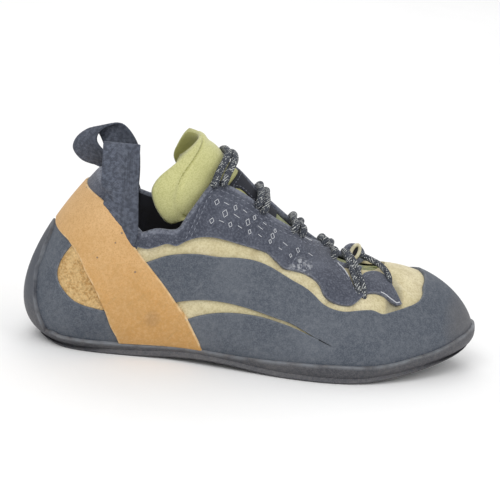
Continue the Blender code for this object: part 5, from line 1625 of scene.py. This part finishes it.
def mark_form(last):
    """Small open diamonds with a dash between, in rows on the outer eyestay."""
    form = bmesh.new()
    low, top, tip = quarter_edges(last, OUTER)
    for marks in named_rows(MARK_COLUMNS, MARKS):
        for index in range(marks["count"]):
            share = (index + 0.5 * (marks["height"] > 0.4)) / marks["count"]
            ring = tip * (marks["start"] + (marks["end"] - marks["start"]) * share)
            rise = float(low(ring) + (top(ring) - low(ring)) * marks["height"])
            size = marks["size"] * (1.0 - 0.35 * share)
            wide = float(last.ring_step(ring, rise, size))
            tall = float(last.rise_step(ring, rise, size))
            path = straight_strokes(DASH if index % 2 else DIAMOND)
            rings = ring + path[:, 0] * wide
            rises = rise + path[:, 1] * tall
            points = last.layer(rings, rises, last.outside)
            normal = last.normal(ring, rise)
            tube_form(points, MARK_RADIUS, 5, form, normal)
    for start, end, edge, inset in PIPING:
        rings = np.linspace(start, end, 40)
        rises = (low if edge == "low" else top)(rings) - last.rise_step(rings, TOP_RISE, inset)
        points = last.layer(rings, rises, last.outside)
        tube_form(points, PIPING_RADIUS, 6, form, last.normal(start, 0.7))
    return form


def straight_strokes(corners, steps=5):
    """Points along straight strokes between corners."""
    corners = np.array(corners)
    parts = [
        start + (end - start) * np.linspace(0.0, 1.0, steps, endpoint=False)[:, None]
        for start, end in zip(corners, corners[1:])
    ]
    return np.concatenate(parts + [corners[-1:]])


def tongue_place(last, column, name):
    """A place of the tongue's flare, given in shares of the shoe's sizes."""
    return np.array((
        last.along(column[name + "_x"]),
        column[name + "_y"] * last.sizes.ball_width,
        column[name + "_z"] * last.sizes.instep_height,
    ))


def tongue_surface(last):
    """Outer points of the tongue, from its toe end to its flared top."""
    shares = np.linspace(-1.0, 1.0, 25)
    middle_out, edge_in, edge_up = TONGUE_FULLNESS
    rows = []
    for ring in TONGUE_RINGS:
        edge = TONGUE_EDGE - TONGUE_EDGE_DROP * (TONGUE_RINGS[0] - ring)
        places = np.where(shares <= 0.0, ring, RING - ring)
        rises = np.minimum(1.0 - np.abs(shares) * (1.0 - edge), 0.999)
        rows.append(last.layer(places, rises, -last.sizes.tongue_drop))
    for column in named_rows(TONGUE_COLUMNS, TONGUE_FLARE):
        mid = tongue_place(last, column, "mid")
        row = []
        for share in shares:
            edge = tongue_place(last, column, "out" if share <= 0.0 else "in")
            reach = mid - edge
            handle_mid = mid - np.array((0.0, middle_out * reach[1], 0.0))
            handle_edge = edge + np.array((edge_in * reach[0], 0.0, edge_up * reach[2]))
            t = abs(share)
            left = 1.0 - t
            row.append(
                mid * left ** 3 + 3 * handle_mid * left * left * t
                + 3 * handle_edge * left * t * t + edge * t ** 3)
        rows.append(row)
    rows = np.array(rows)
    rows[-1, :, 2] += np.interp(shares, (-1.0, 0.0, 1.0), (0.0, *TONGUE_PEAK)) * last.sizes.instep_height
    rows = np.array([smooth_path(rows[:, column], TONGUE_STEPS) for column in range(rows.shape[1])])
    rows = rows.transpose(1, 0, 2)
    for _ in range(TONGUE_STEPS):
        rows[1:-1] = 0.25 * (rows[:-2] + rows[2:]) + 0.5 * rows[1:-1]
    surface = np.array([smooth_path(row, 5) for row in rows])
    across = np.linspace(-1.0, 1.0, surface.shape[1])
    for index in range(len(surface)):
        late = np.clip(index / (len(surface) - 1.0) * 7.0 - 6.0, 0.0, 1.0)
        reach = across * (0.66 + 0.34 * math.sqrt(1.0 - late * late))
        places = [np.interp(reach, across, surface[index][:, axis]) for axis in range(3)]
        surface[index] = np.stack(places, axis=1)
    return surface


def outward_normals(surface):
    """The tongue's normals, turned so that its middle faces up."""
    normals = grid_normals(surface)
    return normals if normals[30, surface.shape[1] // 2, 2] > 0.0 else -normals


def tongue_form(last):
    """The tongue as a soft pad: rounded at its sides and end, with a sewn groove."""
    surface = tongue_surface(last)
    normals = outward_normals(surface)
    rows, columns = surface.shape[:2]
    across = np.linspace(-1.0, 1.0, columns)[None, :]
    along = np.linspace(0.0, 1.0, rows)[:, None]
    crown = np.clip(1.0 - np.abs(across) ** 7, 0.0, 1.0) ** 0.5
    end = np.clip((1.0 - along) / 0.035, 0.0, 1.0)
    start = np.clip(along / 0.02, 0.0, 1.0)
    crown = crown * np.sqrt(1.0 - (1.0 - end) ** 2) * np.sqrt(1.0 - (1.0 - start) ** 2)
    half = 0.5 * last.sizes.tongue
    flare = (len(TONGUE_RINGS) - 0.3) * TONGUE_STEPS / (rows - 1.0)
    above = (along - flare) / (1.0 - flare)
    bend = 0.7 * np.clip(above, 0.0, 1.0) ** 3
    groove = np.exp(-((across + 0.88 - 0.1 * above - bend) / GROOVE_WIDTH) ** 2)
    groove += np.exp(-((across - 0.75 + 0.3 * above) / GROOVE_WIDTH) ** 2)
    groove = groove * (above > 0.0)
    band = np.exp(-((along - flare) / BAND_WIDTH) ** 2)
    fullness = 1.0 + 0.1 * np.cos(across * 2.2) * (above > 0.0)
    puff = half * crown * fullness - GROOVE_DEPTH * (groove + band) * crown
    middle = surface - normals * half
    front = middle + normals * puff[..., None]
    back = middle - normals * (half * crown)[..., None]
    return grid_form(np.concatenate((front, back[:, ::-1]), axis=1)), surface, normals


class SHOE_OT_tongue(bpy.types.Operator):
    """Padded tongue with its bare patch"""

    bl_idname = "shoe.tongue"
    bl_label = "Tongue"

    def execute(self, context):
        last, sizes, colours = shoe_parts(context)
        knit = tongue_finish("Tongue knit", colours.tongue, colours.tongue_shade, KNIT)
        mesh = tongue_finish("Tongue mesh", colours.tongue_mesh, colours.microfibre, MESH)
        back = tongue_finish("Tongue back", colours.tongue_lining, colours.tongue_shade, KNIT)
        form, surface, normals = tongue_form(last)
        axis_height = 0.5 * sizes.instep_height
        piece = add_piece(form, "tongue_pad", (knit, mesh, back), ("tongue",), closed=True)
        flare = surface[(len(TONGUE_RINGS) - 1) * TONGUE_STEPS].mean(axis=0)
        for polygon in piece.data.polygons:
            place = np.array(polygon.center)
            inward = np.array((flare[0] - 0.03, 0.0, axis_height)) - place
            faces_in = np.dot(np.array(polygon.normal), inward) > 0.0
            lower = place[0] > flare[0] + 0.012
            polygon.material_index = 1 if lower and not faces_in else (2 if faces_in else 0)
        columns = surface.shape[1]
        rows = slice((len(TONGUE_RINGS) - 3) * TONGUE_STEPS, len(TONGUE_RINGS) * TONGUE_STEPS + 1)
        part = slice(*(int(columns * share) for share in LABEL_COLUMNS))
        face = surface[rows, part] + normals[rows, part] * (sizes.gap + sizes.label)
        label = label_finish(colours)
        add_piece(grid_form(face), "tongue_patch", (label,), ("tongue_label",),
                  wall=sizes.label, rounding=0.0002)
        seam = bmesh.new()
        within = slice(LABEL_INSET, -LABEL_INSET)
        inner = face[within, within]
        loop = np.concatenate((inner[0], inner[:, -1], inner[-1][::-1], inner[::-1, 0]))
        facing = normals[rows, part][within, within]
        lifts = np.concatenate((facing[0], facing[:, -1], facing[-1][::-1], facing[::-1, 0]))
        add_stitches(seam, loop, lifts, sizes, **LABEL_STITCH)
        thread = finish_of("Thread", thread_finish, "Thread", colours.thread)
        add_piece(seam, "patch_stitches", (thread,), (), closed=True)
        return {"FINISHED"}


def loop_surface(last, side):
    """Middle points of a pull loop's webbing, from outside the collar over and back in."""
    sizes = last.sizes
    sign = 1.0 if side == OUTER else -1.0
    seat = last.find("out", "side", LOOP_SEAT, LOOP_SEAT_HEIGHT)[0]
    columns = np.linspace(-0.5, 0.5, 25) * sizes.webbing_width
    rings = np.array([seat + float(last.ring_step(seat, TOP_RISE, column)) for column in columns])
    places = on_side(side, rings)
    rims = last.throat(places)
    lows = last.above_sling(rings) - last.rise_step(rings, TOP_RISE, 0.004)
    outside = last.outside + sizes.loop_lift + 0.5 * sizes.webbing
    rows = [
        last.layer(places, lows + (rims - lows) * share, outside - sunk)
        for share, sunk in LOOP_LEG
    ]
    base = rows[-1].mean(axis=0)
    for column in named_rows(LOOP_COLUMNS, LOOP_OUTER if side == OUTER else LOOP_INNER):
        shift = np.array((column["forward"], -sign * column["outward"], column["up"])) * sizes.loop_height
        turn = math.radians(column["turn"])
        width = np.array((math.cos(turn), -math.sin(turn) * LOOP_LEAN[0], math.sin(turn) * LOOP_LEAN[1]))
        width /= np.linalg.norm(width)
        rows.append(base + shift + columns[:, None] * width)
    inside = sizes.loop_inside + 0.5 * sizes.webbing
    tail = last.rise_step(rings, TOP_RISE, sizes.loop_tail)
    rows.append(last.layer(places, rims, -inside))
    rows.append(last.layer(places, rims - tail, -inside))
    rows = np.array(rows)
    surface = np.array([smooth_path(rows[:, column], 9) for column in range(len(columns))])
    return surface.transpose(1, 0, 2)


class SHOE_OT_pull_loops(bpy.types.Operator):
    """Two webbing loops at the heel, with the stitches that hold them"""

    bl_idname = "shoe.pull_loops"
    bl_label = "Pull loops"

    def execute(self, context):
        last, sizes, colours = shoe_parts(context)
        webbing = webbing_finish(colours)
        thread = finish_of("Thread", thread_finish, "Thread", colours.thread)
        for side in SIDES:
            surface = loop_surface(last, side)
            normals = grid_normals(surface)
            columns = surface.shape[1]
            across = np.linspace(-1.0, 1.0, columns)
            half = 0.5 * sizes.webbing * (0.55 + 0.45 * np.sqrt(1.0 - np.abs(across) ** 6))
            rib = RIB_DEPTH * np.cos(across * math.pi * RIBS)
            lift = normals * (half + rib)[None, :, None]
            skin = np.concatenate((surface + lift, (surface - lift)[:, ::-1]), axis=1)
            skin = np.concatenate((skin, skin[:, :1]), axis=1)
            middle = surface[:, columns // 2]
            caps = [np.repeat(middle[end][None, None], skin.shape[1], axis=1) for end in (0, -1)]
            skin = np.concatenate((caps[0], skin, caps[1]))
            add_piece(grid_form(skin), "webbing_loop_" + side, (webbing,),
                      ("pull_loop_" + side,), closed=True)
            sign = 1.0 if np.dot(normals[2, columns // 2], last.normal(1.9, 0.8)) > 0.0 else -1.0
            seams = bmesh.new()
            for row in LOOP_SEAMS:
                points = surface[row, 3:-3] + sign * normals[row, 3:-3] * 0.5 * sizes.webbing
                add_stitches(seams, points, sign * normals[row, 3:-3], sizes)
            add_piece(seams, "loop_stitches_" + side, (thread,), (), closed=True)
        return {"FINISHED"}


class SHOE_OT_eyelet_tab(bpy.types.Operator):
    """Raised tab at the front of the throat, with its pale ring and a dark disc of painted shade for its
    hole
    """

    bl_idname = "shoe.eyelet_tab"
    bl_label = "Eyelet tab"

    def execute(self, context):
        last, sizes, colours = shoe_parts(context)
        centre = np.array((
            last.along(TAB_PLACE[0]), TAB_PLACE[1] * sizes.ball_width, TAB_PLACE[2] * sizes.instep_height))
        along = np.array(TAB_ALONG)
        upward = np.array(TAB_UP)
        upward -= along * np.dot(along, upward)
        upward /= np.linalg.norm(upward)
        face = np.cross(along, upward)
        turns = np.linspace(0.0, 2.0 * math.pi, 49)
        spokes = along * np.cos(turns)[:, None] * 0.5 * sizes.tab_length * TAB_WIDE
        spokes = spokes + upward * np.sin(turns)[:, None] * 0.5 * sizes.tab_height * TAB_TALL
        rings = [centre + spokes * share + face * lift * sizes.tab_wall for share, lift in TAB_SECTION]
        microfibre = finish_of("Microfibre", microfibre_finish, colours)
        add_piece(grid_form(np.array(rings)), "front_tab", (microfibre,),
                  ("eyelet_tab",), closed=True)
        wide, tall, thick = EYELET
        middle = centre + face * 0.65 * sizes.tab_wall + upward * EYELET_RISE
        oval = along * np.cos(turns)[:, None] * wide + upward * np.sin(turns)[:, None] * tall
        pale = eyelet_finish(colours)
        ring = tube_form(middle + oval, thick, up=face, ends=False)
        # Painted shade: a flat disc in the dark lining finish inside the ring stands for the eyelet's
        # shaded hole; the tab itself is solid.
        eyelet_shade = grid_form(np.array([middle + oval * share + face * 0.0002 for share in (0.0, 0.5, 1.0)]))
        add_piece(eyelet_shade, "front_eyelet_shade", (finish_of("Lining", lining_finish, colours),), ())
        add_piece(ring, "front_eyelet", (pale,), (), closed=True)
        return {"FINISHED"}


def strand_points(last, strand):
    """A strand of the lace, from its near eyelet over the tongue to the far one."""
    sizes = last.sizes
    seat = last.outside
    radius = 0.5 * sizes.lace
    near, far = strand["near"], strand["far"]
    ends = []
    for ring, inset in ((near, strand["near_inset"]), (far, strand["far_inset"])):
        rise = float(last.throat(ring)) - float(last.rise_step(ring, TOP_RISE, inset))
        ends.append((ring, rise))
    rows = []
    for side, (ring, rise) in enumerate(ends):
        rim = float(last.throat(ring))
        toward = (
            (rise - float(last.rise_step(ring, TOP_RISE, 0.0005)), seat - 1.4 * radius),
            (rise, seat + 0.2 * radius),
            (rise + (rim - rise) * 0.45, seat + 1.0 * radius),
            (rim + (RIDGE_RISE - rim) * 0.25, seat + 0.85 * radius),
            (rim + (RIDGE_RISE - rim) * 0.75, seat - 0.1 * radius),
        )
        part = [last.layer(ring, min(place, RIDGE_RISE), offset) for place, offset in toward]
        rows.append(part if side == 0 else part[::-1])
    return smooth_path(np.array(rows[0] + rows[1]), 8)


class SHOE_OT_lace(bpy.types.Operator):
    """Braided lace: pairs of strands across the tongue, into their eyelets"""

    bl_idname = "shoe.lace"
    bl_label = "Lace"

    def execute(self, context):
        last, sizes, colours = shoe_parts(context)
        form = bmesh.new()
        for strand in named_rows(STRAND_COLUMNS, STRANDS):
            tube_form(strand_points(last, strand), 0.5 * sizes.lace, 14, form, LACE_GUIDE)
        for row in FRONT_STRANDS:
            places = np.array(row)
            points = last.layer(places[:, 0], places[:, 1], last.over + places[:, 2])
            radius = FRONT_STRAND_RADIUS * sizes.lace
            tube_form(smooth_path(points, 10), radius, 14, form, LACE_GUIDE)
        finish = lace_finish(colours)
        add_piece(form, "lace_cord", (finish,), ("lace",), closed=True)
        return {"FINISHED"}


class SHOE_OT_stage(bpy.types.Operator):
    """Pale floor, soft studio light and the camera"""

    bl_idname = "shoe.stage"
    bl_label = "Stage"

    def execute(self, context):
        scene = context.scene
        form = bmesh.new()
        place = Matrix.Translation((0.0, 0.0, -FLOOR_DROP))
        bmesh.ops.create_grid(form, x_segments=1, y_segments=1, size=FLOOR_SIZE, matrix=place)
        mesh = bpy.data.meshes.new("floor")
        form.to_mesh(mesh)
        form.free()
        floor = bpy.data.objects.new("floor", mesh)
        floor.data.materials.append(floor_finish(scene.shoe_colours))
        scene.collection.objects.link(floor)
        world = bpy.data.worlds.new("Studio")
        world.use_nodes = True
        sky = world.node_tree.nodes["Background"].inputs
        sky["Color"].default_value = (1.0, 1.0, 1.0, 1.0)
        sky["Strength"].default_value = WORLD_STRENGTH
        scene.world = world
        for name, place, power, size in LIGHTS:
            lamp = bpy.data.lights.new(name, "AREA")
            lamp.energy = power
            lamp.size = size
            lamp_object = bpy.data.objects.new(name, lamp)
            lamp_object.location = place
            aim = Vector(CAMERA_AIM) - Vector(place)
            lamp_object.rotation_euler = aim.to_track_quat("-Z", "Y").to_euler()
            scene.collection.objects.link(lamp_object)
        scene.view_settings.view_transform = "Standard"
        scene.camera = add_camera(scene)
        return {"FINISHED"}


def add_camera(scene):
    """Camera at the photograph's angle to the shoe, rolled so that the toe goes down."""
    turn, rise, roll = (math.radians(angle) for angle in (CAMERA_TURN, CAMERA_RISE, CAMERA_ROLL))
    back = Vector((math.sin(turn) * math.cos(rise), -math.cos(turn) * math.cos(rise), math.sin(rise)))
    level = Vector((math.cos(turn), math.sin(turn), 0.0))
    upright = back.cross(level)
    right = level * math.cos(roll) + upright * math.sin(roll)
    up = upright * math.cos(roll) - level * math.sin(roll)
    camera = bpy.data.objects.new("camera", bpy.data.cameras.new("camera"))
    camera.data.lens = CAMERA_LENS
    camera.data.sensor_width = SENSOR
    camera.data.dof.use_dof = False
    matrix = Matrix((right, up, back)).transposed().to_4x4()
    matrix.translation = Vector(CAMERA_AIM) + back * CAMERA_AWAY
    camera.matrix_world = matrix
    scene.collection.objects.link(camera)
    return camera


OPERATORS = (
    SHOE_OT_stage,
    SHOE_OT_upper,
    SHOE_OT_sole,
    SHOE_OT_rand,
    SHOE_OT_sling,
    SHOE_OT_quarters,
    SHOE_OT_tongue,
    SHOE_OT_pull_loops,
    SHOE_OT_eyelet_tab,
    SHOE_OT_lace,
)


class SHOE_PT_panel(bpy.types.Panel):
    """Sizes, colours and pieces of the shoe"""

    bl_label = "Climbing shoe"
    bl_idname = "SHOE_PT_panel"
    bl_space_type = "VIEW_3D"
    bl_region_type = "UI"
    bl_category = "Shoe"

    def draw(self, context):
        scene = context.scene
        for heading, group in (("Sizes", scene.shoe_sizes), ("Colours", scene.shoe_colours)):
            box = self.layout.box()
            box.label(text=heading)
            for name in type(group).__annotations__:
                box.prop(group, name)
        for operator in OPERATORS:
            self.layout.operator(operator.bl_idname)


CLASSES = (ShoeSizes, ShoeColours, SHOE_PT_panel, *OPERATORS)


def register():
    for item in CLASSES:
        bpy.utils.register_class(item)
    bpy.types.Scene.shoe_sizes = PointerProperty(type=ShoeSizes)
    bpy.types.Scene.shoe_colours = PointerProperty(type=ShoeColours)


def unregister():
    del bpy.types.Scene.shoe_colours
    del bpy.types.Scene.shoe_sizes
    for item in reversed(CLASSES):
        bpy.utils.unregister_class(item)


def main():
    """Registers the classes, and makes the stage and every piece."""
    register()
    bpy.ops.shoe.stage()
    bpy.ops.shoe.upper()
    bpy.ops.shoe.sole()
    bpy.ops.shoe.rand()
    bpy.ops.shoe.sling()
    bpy.ops.shoe.quarters()
    bpy.ops.shoe.tongue()
    bpy.ops.shoe.pull_loops()
    bpy.ops.shoe.eyelet_tab()
    bpy.ops.shoe.lace()
    bpy.context.view_layer.update()


if __name__ == "__main__":
    main()
